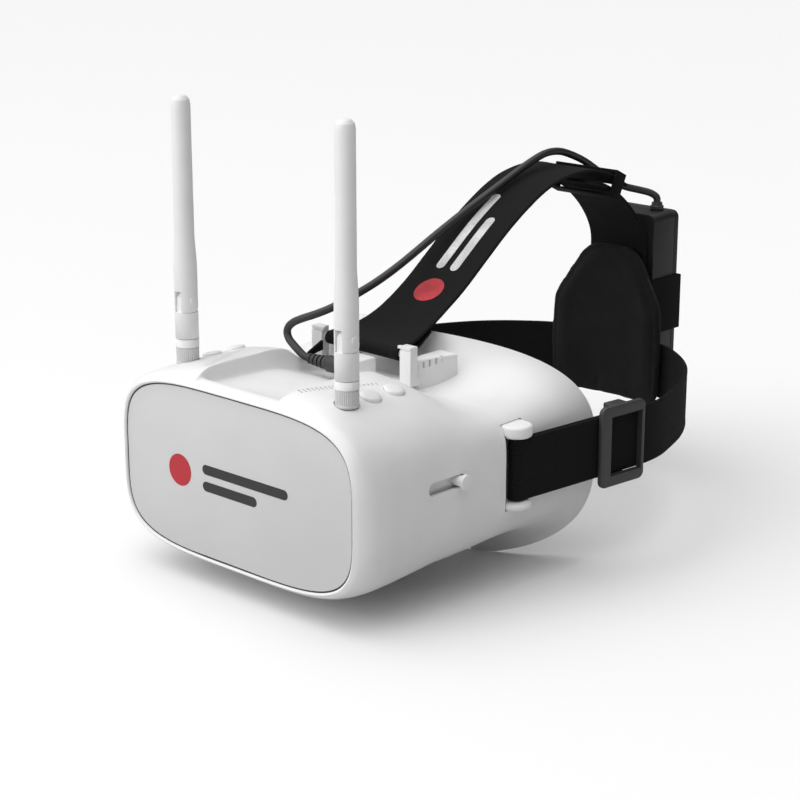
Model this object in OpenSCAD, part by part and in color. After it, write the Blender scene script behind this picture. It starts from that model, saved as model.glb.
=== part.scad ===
// FPV video goggles: a one-screen box viewer with two folding antennas, a focus slider,
// four menu buttons, a face cup, a three-way head strap and a battery case on the rear pad.
// +Z is up, -Y is where the front panel faces, +X is the wearer's right-hand side as seen
// from the front. The origin is under the middle of the whole object, on the surface.

/* [Front panel and housing] */
// Width of the flat front panel
panel_w = 140; // [136:1:142]
// Height of the flat front panel
panel_h = 74.6; // [72:0.2:76]
// Half width of the housing at its widest
house_hw = 78.5; // [77:0.5:80]
// Height of the two humps above the panel's centre line
hump_z = 45.8; // [44:0.2:47]
// Depth of the front housing, from the panel to the face cup
house_y = 84; // [82:1:86]
// Wall thickness of the white mouldings
wall = 2.2; // [1.8:0.1:2.4]

/* [Face cup] */
// Half width of the cup's rim
cup_hw = 79; // [77:0.5:80]
// Height of the rim above the panel's centre line
cup_top = 50; // [48:0.5:52]
// Depth of the cheek lobes below the panel's centre line
cup_low = 54; // [52:0.5:56]

/* [Antennas and buttons] */
// Distance of each antenna from the middle
ant_x = 49.3; // [48:0.1:50]
// Diameter of an antenna's base
ant_d = 10.3; // [10:0.1:10.6]
// Height of an antenna's tip above the panel's centre line
ant_tip_z = 159; // [150:1:165]
// Diameter of each button
button_d = 8.9; // [8:0.1:9]
// Travel of each button
button_travel = 0.8; // [0.5:0.1:0.9]

/* [Focus slider] */
// Travel of the focus knob and the lens
focus_travel = 16.5; // [14:0.5:16.5]

/* [Straps and battery] */
// Width of the side webbing
strap_h = 28; // [25:1:28]
// Thickness of the webbing
strap_t = 1.5; // [1.2:0.1:1.6]
// Half width of the top strap
top_hw = 17.7; // [15:0.1:18]
// Diameter of the power cable
cable_d = 3.6; // [3:0.1:4]

/* [Hidden] */

$fn = 64;
gap = 0.3;              // air left between neighbouring pieces
ring_n = 48;            // points round each housing ring

// The object's box, from which the origin is placed
front_y = -0.6;         // foremost edge of the housing's lip
back_y = 289.8;         // rear face of the battery band
floor_z = -52.6;        // lowest point of the cheek lobes

// Front panel recess
panel_n = 4.1;          // squareness of the panel's outline
panel_gap = 0.35;       // dark line round the panel
panel_t = 2;            // panel thickness
panel_y = 0.2;          // how far its face stands back
lip_t = 2.6;            // thickness of the lip behind it
board_post = [48, 26];  // posts on the panel that carry the main board

// Trough between the humps
trough_hw = 25.4;       // half width
trough_front = 8.6;     // where it starts, behind the panel
trough_lip_z = 41.1;    // height of the low lip in front of it
inlet_lo = [3, 59, 29]; // block in the trough that holds the power inlet
inlet_hi = [15, 72, 45];

// Antenna stack heights
nut_z0 = 40.9;          // underside of the knurled nut
nut_z1 = 48.4;          // top of the nut
base_z1 = 64.4;         // shoulder of the swivel base
hinge_z = 69.6;         // height of the tilt hinge
ant_y = 19;             // distance behind the panel
hinge_r = 1.5;          // hinge pin
tongue_t = 3.6;         // thickness of the base's tongue

// Buttons
button_x = 49.2;
button_ys = [33, 47.2];
button_top = 43.1;

// Focus slider
slot_z = 6.4;           // height of the slot's middle
slot_y0 = 37;           // front end of the slot
slot_y1 = 59.4;         // rear end
slot_hh = 3;            // half height of the slot
knob_y = 56.2;          // knob at rest
rail_x = 62;            // guide rails
rail_r = 1.5;
lens_y = 59.2;          // lens at rest

// Strap anchors
bar_x = 79.6;           // vertical bar that the webbing loops round
bar_y = 91;
bar_r = 1.6;
strap_z = 3.6;          // middle height of the webbing
strap_x1 = 90.4;        // where the straight stretch ends
strap_y1 = 166;
buckle_l = 28;          // length of the buckle along the webbing
buckle_h = 37.5;        // its height
buckle_y = 151;         // its middle at rest

arm_y0 = 84.4;          // anchor block
arm_y1 = 98.2;
arm_z0 = -14.2;
arm_z1 = 23.6;
arm_caps = [3.2, 5.4];   // thickness of its bottom and top caps

// Rear pad, curved round the back of the head
pad_cy = 158;           // centre of the curve
pad_r = 100;            // inner radius
pad_t = 5.4;
case_y0 = 267.2;        // battery case
case_y1 = 288.2;
case_hw = 19.8;
case_z0 = 2;
case_z1 = 80;
gland_x = 11;
gland_y = 281;

// Stations of the front housing: [y, half width, top, top squareness, bottom, bottom squareness]
front_st = [
    [front_y, 71.3, 38.6, 4.2, 38.4, 4.2],
    [0.4, 72.6, 39.8, 4.2, 39.5, 4.2],
    [2.4, 74.4, 41.4, 4, 40.6, 4.1],
    [6, 76.5, 43.4, 3.5, 41.3, 4],
    [12, 77.9, 45.2, 3.1, 41.5, 4],
    [22, house_hw - 0.3, hump_z, 3, 41.2, 4],
    [36, house_hw, hump_z, 3, 40.0, 4],
    [50, house_hw + 0.4, hump_z - 0.2, 3, 38.4, 4],
    [58, house_hw + 0.7, hump_z - 2, 3.1, 37.4, 4.2],
    [65, house_hw + 1, 38.6, 3.7, 36.4, 4.4],
    [73, house_hw + 1.2, 33.4, 4.8, 35.2, 4.7],
    [house_y, house_hw + 1.5, 30, 6, 33.6, 5]];

// Signed power, for superellipses
function spow(v, e) = sign(v) * pow(abs(v), e);
// Angles are crowded a little away from the axes by the formula itself
function ring_angle(i) = 360 * i / ring_n;
// One housing ring, pulled in by t all round
function house_ring(s, t) = [for (i = [0:ring_n - 1])
    let (c = cos(ring_angle(i)), d = sin(ring_angle(i)),
        n = d >= 0 ? s[3] : s[5],
        b = d >= 0 ? s[2] : s[4])
    [(s[1] - t) * spow(c, 2 / n), s[0], (b - t) * spow(d, 2 / n)]];

// The rim of the face cup: further back at the temples, notched for the nose
function rim_y(x) = 107 + 41 * pow(abs(x) / 80, 2);
function mid(a, b) = (a + b) / 2;
function smooth(u) = let (v = min(max(u, 0), 1)) v * v * (3 - 2 * v);
function nose(x) = 36 * (1 - smooth((abs(x) - 8) / 30));
function rim_point(a, t) =
    let (c = cos(a), d = sin(a), n = d >= 0 ? 2.8 : 3.2,
        b = d >= 0 ? cup_top : cup_low,
        x = (cup_hw - t) * spow(c, 2 / n),
        z = (b - t) * spow(d, 2 / n))
    [x, rim_y(x), d < 0 ? min(z + nose(x), 0) : z];
// Each cup ring lies on a curve that leaves the housing level and turns out to the rim
function cup_point(a, u, t) =
    let (s = house_ring(front_st[len(front_st) - 1], t), i = round(a * ring_n / 360),
        p = s[i], r = rim_point(a, t),
        q = [p[0] + (r[0] - p[0]) * 0.3, p[1] + (r[1] - p[1]) * 0.92,
            p[2] + (r[2] - p[2]) * 0.04])
    pow(1 - u, 2) * p + 2 * u * (1 - u) * q + u * u * r;
function cup_ring(u, t) = [for (i = [0:ring_n - 1]) cup_point(ring_angle(i), u, t)];
function shift_ring(r, v) = [for (p = r) p + v];

// A closed solid through rings of equal length, with a fan on each end
module skin(rings) {
    m = len(rings);
    k = len(rings[0]);
    ends = [[0, rings[0][k / 4][1], 0], [0, rings[m - 1][k / 4][1], 0]];
    pts = concat([for (r = rings) for (p = r) p], ends);
    sides = [for (j = [0:m - 2]) for (i = [0:k - 1])
        let (a = j * k + i, b = j * k + (i + 1) % k)
        for (f = [[a, b, a + k], [b, b + k, a + k]]) f];
    caps = [for (i = [0:k - 1])
        for (f = [[(i + 1) % k, i, m * k],
            [(m - 1) * k + i, (m - 1) * k + (i + 1) % k, m * k + 1]]) f];
    polyhedron(points = pts, faces = concat(sides, caps), convexity = 10);
}

// Superellipse outline as a 2-D polygon in the X-Z plane
function outline(a, b, n, k = 72) = [for (i = [0:k - 1])
    [a * spow(cos(360 * i / k), 2 / n), b * spow(sin(360 * i / k), 2 / n)]];
// A plate of that outline between two depths
module plate(a, b, n, y0, y1) {
    translate([0, y1, 0])
        rotate([90, 0, 0])
            linear_extrude(y1 - y0)
                polygon(outline(a, b, n));
}
// Box between two corners
module box(a, b) {
    translate(a)
        cube(b - a);
}
// Cylinder along Y or X between two places
module rod_y(x, z, r, y0, y1) {
    translate([x, y0, z])
        rotate([-90, 0, 0])
            cylinder(r = r, h = y1 - y0);
}
module rod_x(y, z, r, x0, x1) {
    translate([x0, y, z])
        rotate([0, 90, 0])
            cylinder(r = r, h = x1 - x0);
}
module rod_z(x, y, r, z0, z1) {
    translate([x, y, z0])
        cylinder(r = r, h = z1 - z0);
}
// Both sides of the object
module both() {
    children();
    mirror([1, 0, 0])
        children();
}

// A station of the housing taken to another depth
function moved(s, y) = [y, s[1], s[2], s[3], s[4], s[5]];
// Space inside the shell, from behind the front lip to past the rear edge
module body_hollow() {
    skin(concat([house_ring(moved(front_st[0], panel_t + lip_t), lip_t)],
        [for (s = front_st) if (s[0] >= 6 && s[0] < house_y) house_ring(s, wall)],
        [house_ring(moved(front_st[len(front_st) - 1], house_y + 1), wall)]));
}
// Space between the humps, open to the rear
module trough() {
    rotate([90, 0, 90])
        translate([0, 0, -trough_hw])
            linear_extrude(2 * trough_hw)
                polygon([[-5, trough_lip_z], [trough_front - 1.6, trough_lip_z],
                    [trough_front, 38.6], [50, 36.4], [60, 33.4], [72, 30.6],
                    [house_y + 1, 30], [house_y + 1, 60], [-5, 60]]);
}
// Floor plate under the trough
module trough_floor() {
    rotate([90, 0, 90])
        translate([0, 0, -trough_hw - wall])
            linear_extrude(2 * trough_hw + 2 * wall)
                polygon([[trough_front - 3, 36.8], [50, 34.4], [60, 31.4], [72, 28.6],
                    [house_y, 28], [house_y, 30], [72, 33], [58, 44],
                    [trough_front - wall, 45], [trough_front - 3, 41]]);
}
vent_n = 19;            // slots in each curved row of vents
module vents() {
    for (i = [0:vent_n - 1])
        let (u = i / (vent_n - 1), len = 2.2 + 1.2 * sin(300 * u + 20) + 0.5 * cos(800 * u))
        translate([28.8 + 12.6 * u, 12.4 + 32.2 * u, 30])
            rotate([0, 0, -12])
                translate([-len / 2 - 0.3, -0.45, 0])
                    cube([len + 0.6, 0.9, 20]);
}
// Everything that the shell carries inside: antenna bosses, screw bosses and brackets
module housing_bosses() {
    both() {
        rod_z(ant_x, ant_y, 6.4, jack_z0 + 1.8, nut_z0 - 0.6);
        for (z = screw_zs)
            rod_y(screw_x, z, 3, panel_t + 2, bezel_y);
        rod_z(button_x - 4, mid(button_ys[0], button_ys[1]), 1.5, board_z1, board_z1 + 6.5);
        box([rail_x - 3, rail_y0 - 3, rail_z - 3], [house_hw - 1, rail_y0 + 1, rail_z + 3]);
    }
    box(inlet_lo, inlet_hi);
}
module housing_holes() {
    plate(panel_w / 2 + panel_gap, panel_h / 2 + panel_gap, panel_n, -5, panel_y + panel_t);
    plate(panel_w / 2 - 5, panel_h / 2 - 5, panel_n, -5, panel_t + 5);
    both() {
        vents();
        rod_z(ant_x, ant_y, thread_r + 0.05, 25, 60);
        rod_z(ant_x, ant_y, ant_d / 2 + 0.45, nut_z0 - 0.6, 60);
        for (y = button_ys)
            rod_z(button_x, y, button_d / 2 + 0.15, 36, 60);
        for (z = screw_zs)
            rod_y(screw_x, z, screw_r + 0.05, bezel_y - 5, bezel_y + 1);
        rod_y(rail_x, rail_z, rail_r + 0.05, rail_y0 - 1, rail_y0 + 2);
        focus_slot();
    }
    rod_x(plug_y, plug_z, jack_r + 0.05, inlet_lo[0] - 1, jack_x1 + 0.4);
    box(card_lo, card_hi);
}
module main_housing() {
    color("white")
        difference() {
            union() {
                difference() {
                    skin([for (s = front_st) house_ring(s, 0)]);
                    body_hollow();
                }
                intersection() {
                    skin([for (s = front_st) house_ring(s, 0)]);
                    trough_floor();
                }
                housing_bosses();
            }
            difference() {
                trough();
                box(inlet_lo, inlet_hi);
            }
            housing_holes();
        }
}
// Slot in the side for the focus knob's stem
module focus_slot() {
    for (y = [slot_y0 + slot_hh, slot_y1 - slot_hh])
        rod_x(y, slot_z, slot_hh, 60, 90);
    box([60, slot_y0 + slot_hh, slot_z - slot_hh], [90, slot_y1 - slot_hh, slot_z + slot_hh]);
}

module front_panel() {
    color([0.80, 0.80, 0.80]) {
        plate(panel_w / 2, panel_h / 2, panel_n, panel_y, panel_y + panel_t);
        both()
            for (z = [-board_post[1], board_post[1]]) {
                rod_y(board_post[0], z, 2.6, panel_t, board_y);
                rod_y(board_post[0], z, 1.5, board_y - 1, board_y + board_t + 0.6);
            }
    }
}

cup_us = [0, 0.2, 0.4, 0.6, 0.8, 1];     // rings from the housing to the rim
cup_front = 4;          // thickness of the wall between the cup and the housing
module cup_outside() {
    skin(concat([shift_ring(cup_ring(0, 0), [0, 0.1, 0])],
        [for (u = [1:len(cup_us) - 1]) cup_ring(cup_us[u], 0)]));
}
module cup_hollow() {
    skin(concat([shift_ring(cup_ring(0, wall), [0, cup_front, 0])],
        [for (u = [0.25, 0.5, 0.75]) shift_ring(cup_ring(u, wall), [0, 0.3, 0])],
        [for (y = [0.6, 30]) shift_ring(cup_ring(1, wall), [0, y, 0])]));
}
// Raised block beside the top strap, with four slits in its outer face
module slit_block() {
    difference() {
        translate([0, 0, 26])
            linear_extrude(17.6)
                polygon([[23, 84.2], [28.4, 84.2], [34.2, 104.5], [23, 104.5]]);
        for (i = [0:3])
            translate([27.6 + 0.86 * i, 86.6 + 3.1 * i, 39.4 + 0.5 * i])
                cube([8, 1.1, 2.8]);
    }
}
module face_cup() {
    color("white")
        difference() {
            union() {
                cup_outside();
                both()
                    slit_block();
            }
            cup_hollow();
            plate(52, 26, 4, house_y - 4, house_y + 8);
            both()
                box([71, 83, arm_z0 - gap], [90, arm_y1 + gap, arm_z1 + gap]);
        }
}
foam_w = 7.5;           // width of the foam ring, inward from the cup's wall
module face_foam() {
    color([0.16, 0.16, 0.17])
        difference() {
            skin([for (u = [0.65, 0.75, 0.97]) cup_ring(u, wall + 2)]);
            skin(concat([shift_ring(cup_ring(0.5, wall + foam_w), [0, -8, 0])],
                [for (u = [0.7, 0.9]) cup_ring(u, wall + foam_w)],
                [shift_ring(cup_ring(1, wall + foam_w), [0, 20, 0])]));
        }
}

// Anchor block that carries the bar for the side webbing
module side_arm() {
    box([71.3, arm_y0, arm_z0], [73, arm_y1, arm_z1]);
    for (q = [[arm_z0, arm_caps[0]], [arm_z1 - arm_caps[1], arm_caps[1]]])
        let (z = q[0], t = q[1]) {
            box([71.3, arm_y0, z], [79.4, arm_y1, z + t]);
            intersection() {
                rod_z(79.4, (arm_y0 + arm_y1) / 2, (arm_y1 - arm_y0) / 2, z, z + t);
                box([78, arm_y0, z], [95, arm_y1, z + t]);
            }
        }
    rod_z(bar_x, bar_y, bar_r, arm_z0 + 1, arm_z1 - 1);
}
module side_arm_right() {
    color("white")
        side_arm();
}
module side_arm_left() {
    color("white")
        mirror([1, 0, 0])
            side_arm();
}

post_x0 = 24.2;         // strap bracket posts
post_x1 = 30.6;
post_y0 = 77;
post_y1 = 81.6;
post_z1 = 50.6;
fold_z = 46;            // bar that the top strap folds round
bracket_z = 32.9;       // underside of its base plate
fold_y = 79.9;
module strap_bracket() {
    color("white") {
        box([-post_x1, post_y0, bracket_z], [post_x1, post_y1 + 1.6, bracket_z + 2]);
        both() {
            box([post_x0, post_y0, bracket_z], [post_x1, post_y1, post_z1 - 2]);
            box([post_x0, post_y0 + 0.6, post_z1 - 3], [post_x1, post_y1, post_z1]);
            box([post_x0 - 1.2, post_y0, post_z1 - 1.2], [post_x1, post_y0 + 1.6, post_z1]);
            box([19, post_y0, 30.4], [23, post_y1 + 1.6, bracket_z + 0.1]);
        }
        rod_x(fold_y, fold_z, 1.3, -post_x0 - 1, post_x0 + 1);
    }
}

// Screen and electronics
lcd_size = [105.5, 2.8, 63];
bezel_y = 15.1;         // front of the frame that clamps the screen
bezel_t = 2;
screw_x = 56;           // its four screws
screw_zs = [-30.5, 28.8];
screw_r = 1;
board_y = 8.4;          // main board
board_t = 1.6;
board_z1 = 34.6;        // top of the small boards under the buttons
tunnel_y1 = 38;       // rear end of the light shade between screen and lens
rail_z = -8;            // guide rails
rail_y0 = 30;
eye_w = 50;             // half width of the lens
eye_h = 23.2;           // half height
head_x = 80.2;          // where the focus knob's head begins
stem_x = 74.3;          // where the focus knob's shutter meets the carriage's stem
card_lo = [63, 19, -42];    // opening for the memory card
card_hi = [68, 27, -29];
module lcd_panel() {
    color([0.05, 0.05, 0.06])
        translate([-lcd_size[0] / 2, bezel_y - lcd_size[1], -lcd_size[2] / 2])
            cube(lcd_size);
}
module lcd_bezel() {
    color([0.15, 0.15, 0.15])
        difference() {
            box([-60, bezel_y, -33.5], [60, bezel_y + bezel_t, 31.9]);
            box([-48, bezel_y - 1, -27], [48, bezel_y + 3, 27]);
            both()
                for (z = screw_zs)
                    rod_y(screw_x, z, screw_r + 0.05, bezel_y - 1, bezel_y + 3);
        }
}
module main_board() {
    color([0.05, 0.35, 0.15])
        difference() {
            box([-52, board_y, -30], [52, board_y + board_t, 30]);
            both()
                for (z = [-board_post[1], board_post[1]])
                    rod_y(board_post[0], z, 1.55, board_y - 1, board_y + 3);
        }
}
module receiver_module() {
    color([0.7, 0.7, 0.72])
        both()
            box([20, board_y - 3.6, 2], [43, board_y, 26]);
}
module button_boards() {
    color([0.05, 0.35, 0.15])
        both() {
            box([43, 27.6, board_z1 - 1.2], [56, 53, board_z1]);
            for (y = button_ys)
                box([button_x - 2.6, y - 2.6, board_z1], [button_x + 2.6, y + 2.6, board_z1 + 1.6]);
        }
}
module eye_tunnel() {
    color([0.08, 0.08, 0.09])
        difference() {
            box([-58, bezel_y + bezel_t, -28], [58, tunnel_y1, 28]);
            box([-56.4, bezel_y, -26.4], [56.4, tunnel_y1 + 1, 26.4]);
            both()
                for (z = screw_zs)
                    rod_y(screw_x, z, 2.3, bezel_y, bezel_y + 5);
        }
}
module guide_rails() {
    color("silver")
        both()
            rod_y(rail_x, rail_z, rail_r, rail_y0 - 1, house_y + 0.1);
}
module lens_carriage() {
    color([0.1, 0.1, 0.1])
        difference() {
            union() {
                box([-66, lens_y - 3, -13], [66, lens_y + 3, 9]);
                plate(eye_w + 5, eye_h + 3.8, 4, lens_y - 3, lens_y + 3);
                both() {
                    rod_y(rail_x, rail_z, 3.4, lens_y - 4, lens_y + 6);
                    rod_x(knob_y, slot_z, 2.2, 64, stem_x);
                    box([63, knob_y - 3, slot_z - 3], [67, lens_y + 3, slot_z + 3]);
                }
            }
            plate(eye_w, eye_h, 4, lens_y - 4, lens_y + 4);
            both()
                rod_y(rail_x, rail_z, rail_r + 0.05, lens_y - 6, lens_y + 8);
        }
}
module lens() {
    color([0.8, 0.9, 0.95, 0.5])
        plate(eye_w - 0.05, eye_h - 0.05, 4, lens_y - 1.2, lens_y + 1.4);
}
module focus_knobs() {
    color("white")
        both() {
            rod_x(knob_y, slot_z, 2.45, stem_x, head_x);
            box([stem_x, slot_y0 - 1.2, slot_z - 4.6],
                [stem_x + 0.7, slot_y1 + focus_travel + 1.2, slot_z + 4.6]);
            translate([head_x, knob_y, slot_z])
                rotate([0, 90, 0])
                    cylinder(r1 = 2.45, r2 = 3.3, h = 0.6);
            rod_x(knob_y, slot_z, 3.3, head_x + 0.6, head_x + 2.4);
        }
}

// A push button: a disc on a stem over its switch
module button(y) {
    rod_z(button_x, y, button_d / 2, 37.2, button_top);
}
module menu_button_right() {
    color("white")
        button(button_ys[0]);
}
module channel_button_right() {
    color("white")
        button(button_ys[1]);
}
module menu_button_left() {
    color("white")
        mirror([1, 0, 0])
            button(button_ys[0]);
}
module channel_button_left() {
    color("white")
        mirror([1, 0, 0])
            button(button_ys[1]);
}

// Antenna: jack, fixed nut, swivel base with a tongue, folding whip with a fork
spigot_r = 3.6;
thread_r = 3.2;         // the jack's threaded barrel
jack_z0 = 32.4;         // underside of the jack
module sma_jacks() {
    color("gold")
        both()
            difference() {
                union() {
                    rod_z(ant_x, ant_y, thread_r, jack_z0, nut_z0 + 3);
                    rod_z(ant_x, ant_y, 4.6, jack_z0, jack_z0 + 1.7);
                }
                rod_z(ant_x, ant_y, 1.2, nut_z0 - 6, nut_z0 + 4);
            }
}
module nut() {
    translate([ant_x, ant_y, 0])
        difference() {
            translate([0, 0, nut_z0])
                cylinder(r = ant_d / 2 + 0.05, h = nut_z1 - nut_z0);
            translate([0, 0, nut_z0 - 1])
                cylinder(r = thread_r + 0.05, h = 5);
            translate([0, 0, nut_z0 + 3.4])
                cylinder(r = spigot_r + 0.05, h = 8);
        }
}
module antenna_nut_right() {
    color([0.65, 0.65, 0.65])
        nut();
}
module antenna_nut_left() {
    color([0.65, 0.65, 0.65])
        mirror([1, 0, 0])
            nut();
}
module antenna_base() {
    translate([ant_x, ant_y, 0])
        difference() {
            union() {
                translate([0, 0, nut_z1 + 0.25])
                    cylinder(r = ant_d / 2, h = base_z1 - nut_z1 - 0.25);
                translate([0, 0, nut_z0 + 3.6])
                    cylinder(r = spigot_r, h = nut_z1 - nut_z0);
                translate([-tongue_t / 2, -3.9, base_z1 - 1])
                    cube([tongue_t, 7.8, hinge_z - base_z1 + 1]);
                translate([-tongue_t / 2, 0, hinge_z])
                    rotate([0, 90, 0])
                        cylinder(r = 3.9, h = tongue_t);
            }
            translate([-5, 0, hinge_z])
                rotate([0, 90, 0])
                    cylinder(r = hinge_r + 0.05, h = 10);
            fork_clearance();
        }
}
// Room for the fork's lower ends as the whip folds to the rear
module fork_clearance() {
    for (s = [0, 1])
        mirror([s, 0, 0])
            translate([tongue_t / 2 + 0.001, 0, hinge_z])
                rotate([0, 90, 0])
                    cylinder(r = hinge_z - base_z1 + 0.15, h = 8);
}
module antenna_base_right() {
    color([0.82, 0.82, 0.82])
        antenna_base();
}
module antenna_base_left() {
    color([0.82, 0.82, 0.82])
        mirror([1, 0, 0])
            antenna_base();
}
// The whip's profile: wide foot, waist, long round-ended blade
module whip() {
    foot_z = base_z1 + 0.2;
    translate([ant_x, ant_y, 0]) {
        difference() {
            intersection() {
                rotate_extrude()
                    polygon([[0, foot_z], [ant_d / 2, foot_z], [ant_d / 2, 85], [4.4, 98],
                        [4.3, ant_tip_z - 4.2], [3.9, ant_tip_z - 2], [2.6, ant_tip_z - 0.5],
                        [0, ant_tip_z]]);
                foot_envelope(foot_z);
            }
            translate([-tongue_t / 2 - 0.15, -8, foot_z - 1])
                cube([tongue_t + 0.3, 16, hinge_z - foot_z + 5.2]);
        }
        translate([-4.2, 0, hinge_z])
            rotate([0, 90, 0])
                cylinder(r = hinge_r, h = 8.4);
    }
}
// Square in front and rounded behind, so that the foot clears the base as the whip folds
module foot_envelope(foot_z) {
    translate([-8, -8, hinge_z])
        cube([16, 16, 120]);
    translate([-8, -8, foot_z])
        cube([16, 8, 20]);
    translate([-8, 0, hinge_z])
        rotate([0, 90, 0])
            cylinder(r = hinge_z - foot_z, h = 16);
}
module antenna_whip_right() {
    color([0.84, 0.84, 0.84])
        whip();
}
module antenna_whip_left() {
    color([0.84, 0.84, 0.84])
        mirror([1, 0, 0])
            whip();
}

// Power inlet, plug and lead
plug_y = 65.5;
plug_z = 39;
jack_r = 4;
jack_x1 = 11.6;         // inner end of the inlet
module dc_jack() {
    color([0.1, 0.1, 0.1]) {
        difference() {
            rod_x(plug_y, plug_z, jack_r, 3.4, jack_x1);
            rod_x(plug_y, plug_z, 2.85, 2, jack_x1 - 1.6);
        }
        rod_x(plug_y, plug_z, 0.9, 4.4, jack_x1 - 1.2);
    }
}
module dc_plug() {
    color([0.15, 0.15, 0.15])
        difference() {
            union() {
                rod_x(plug_y, plug_z, 2.75, 1, 9.6);
                rod_x(plug_y, plug_z, 3.7, -8, 2.6);
                for (i = [0:4])
                    rod_x(plug_y, plug_z, 3.2 - 0.2 * i, -10 - 2.6 * i, -8.4 - 2.6 * i);
                rod_x(plug_y, plug_z, cable_d / 2, -21.5, -8);
            }
            rod_x(plug_y, plug_z, 1, 3, 11);
        }
}
// Route of the lead, from the plug over the top strap to the battery case
cable_route = [[-21.5, 65.5, 39], [-24.6, 65.5, 39.6], [-28.8, 65.5, 42.2], [-34.4, 65.8, 45.6],
    [-36, 66.5, 49.5], [-33, 67, 53], [-28, 68, 55.5], [-22, 71.5, 58], [-17, 78, 61],
    [-14.5, 91, 65.5], [-13.5, 102, 69], [-13, 114, 73.5], [-12.5, 126, 78.8],
    [-12, 138, 84.4], [-11, 150, 90], [-8.5, 162, 96.6], [-5, 174, 103.4], [-4, 186, 108.6],
    [-4, 198, 113], [-4.5, 210, 116], [-5, 221, 115.6], [-5, 231, 112.4], [-5, 241, 108.2],
    [-4, 250, 102.6], [-2, 259, 96.4], [0.5, 267, 92.4], [4, 274, 90.4], [8, 279, 88.8],
    [11, 281, 86.6], [11, 281, 84]];
// The route with each corner cut once, so the lead bends smoothly
cable_path = concat([cable_route[0]],
    [for (i = [0:len(cable_route) - 2]) for (u = [0.25, 0.75])
        cable_route[i] * (1 - u) + cable_route[i + 1] * u],
    [cable_route[len(cable_route) - 1]]);
function unit(v) = v / norm(v);
function tangent(p, i) = unit(p[min(i + 1, len(p) - 1)] - p[max(i - 1, 0)]);
// A frame carried along the path without twisting
function frames(p, i, u) = i >= len(p) ? [] :
    let (t = tangent(p, i), v = unit(u - (u * t) * t))
    concat([[p[i], v, cross(t, v)]], frames(p, i + 1, v));
module tube(p, r, k) {
    f = frames(p, 0, [0, 0, 1]);
    m = len(f);
    pts = concat([for (g = f) for (j = [0:k - 1])
        g[0] + r * (cos(360 * j / k) * g[1] + sin(360 * j / k) * g[2])]);
    sides = [for (i = [0:m - 2]) for (j = [0:k - 1])
        let (a = i * k + j, b = i * k + (j + 1) % k)
        for (q = [[a, b, a + k], [b, b + k, a + k]]) q];
    polyhedron(points = pts, faces = concat(sides, [[for (j = [k - 1:-1:0]) j]],
        [[for (j = [0:k - 1]) (m - 1) * k + j]]), convexity = 10);
}
module power_cable() {
    color([0.2, 0.2, 0.2])
        tube(cable_path, cable_d / 2, 8);
}
module card_socket() {
    color([0.12, 0.12, 0.12])
        difference() {
            box([59, card_lo[1] - 1, -27.8], [card_hi[0] + 1.4, card_hi[1] + 1, -23.4]);
            box([60.4, card_lo[1] + 0.4, -30], [card_hi[0] + 0.2, card_hi[1] - 0.4, -24.8]);
        }
}

// A ribbon of thickness t whose outer face runs along points in a plane
function ribbon(p, t) = concat(p, [for (i = [len(p) - 1:-1:0])
    let (d = unit(p[min(i + 1, len(p) - 1)] - p[max(i - 1, 0)]))
    p[i] + t * [-d[1], d[0]]]);
// Curve through given points
function spline(p, k) = [for (i = [0:len(p) - 2]) for (j = [0:(i == len(p) - 2 ? k : k - 1)])
    let (u = j / k, a = p[max(i - 1, 0)], b = p[i], c = p[i + 1],
        d = p[min(i + 2, len(p) - 1)])
    0.5 * (2 * b + (c - a) * u + (2 * a - 5 * b + 4 * c - d) * u * u
        + (3 * b - a - 3 * c + d) * u * u * u)];
module across(half, y_z_points) {
    rotate([90, 0, 90])
        translate([0, 0, -half])
            linear_extrude(2 * half)
                polygon(y_z_points);
}
// Height of the top strap's outer face, front piece then rear piece: [y, z]
front_curve = [[80, 49.1], [90, 49.8], [98, 51.8], [107, 55.4], [118, 61.4], [128, 67.8],
    [140, 76.8], [152, 85.8], [161, 92], [171, 98], [181, 103.2], [192, 107.2],
    [205, 109.4], [218, 109.4], [231, 106.6], [242, 101.6], [247, 98.6]];
rear_curve = [[214, 104.8], [225, 102.6], [233, 99.6], [241, 95], [249, 89],
    [256, 82.2], [261.6, 74.5], [264.6, 67], [265.1, 58], [265.1, 20]];
module top_strap_front() {
    color([0.1, 0.1, 0.1])
        intersection() {
            union() {
                across(30, ribbon(spline(front_curve, 3), -strap_t));
                difference() {
                    rod_x(fold_y, fold_z, 3.1, -30, 30);
                    rod_x(fold_y, fold_z, 1.6, -31, 31);
                    box([-31, 80.4, 44], [31, 90, 50]);
                }
                across(30, ribbon([[80.3, 44.4], [88, 45], [97, 48.2], [104, 51.8]], -strap_t));
            }
            translate([0, 0, 30])
                linear_extrude(100)
                    polygon([[-22.4, 70], [22.4, 70], [22.4, 84], [top_hw + 1.2, 100],
                        [top_hw, 114], [top_hw, 260], [-top_hw, 260], [-top_hw, 114],
                        [-top_hw - 1.2, 100], [-22.4, 84]]);
        }
}
module top_strap_rear() {
    color([0.1, 0.1, 0.1])
        across(top_hw - 0.4, ribbon(spline(rear_curve, 3), -strap_t));
}
// Loop that holds the two pieces of the top strap together
module cable_keeper() {
    color([0.12, 0.12, 0.12])
        translate([0, 238, 100.6])
            rotate([-26, 0, 0])
                difference() {
                    box([-19.2, -4, -8], [19.2, 4, 5.2]);
                    box([-18.1, -5, -7], [18.1, 5, 4.2]);
                }
}
// Short fabric tab between the strap's foot and the lead
module cable_tab() {
    color([0.1, 0.1, 0.1])
        rotate([90, 0, 90])
            translate([0, 0, -24.4])
                linear_extrude(1.6)
                    polygon([[76.6, 44.8], [76.6, 40.4], [67.7, 38.8], [67.7, 40.8]]);
}

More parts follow.
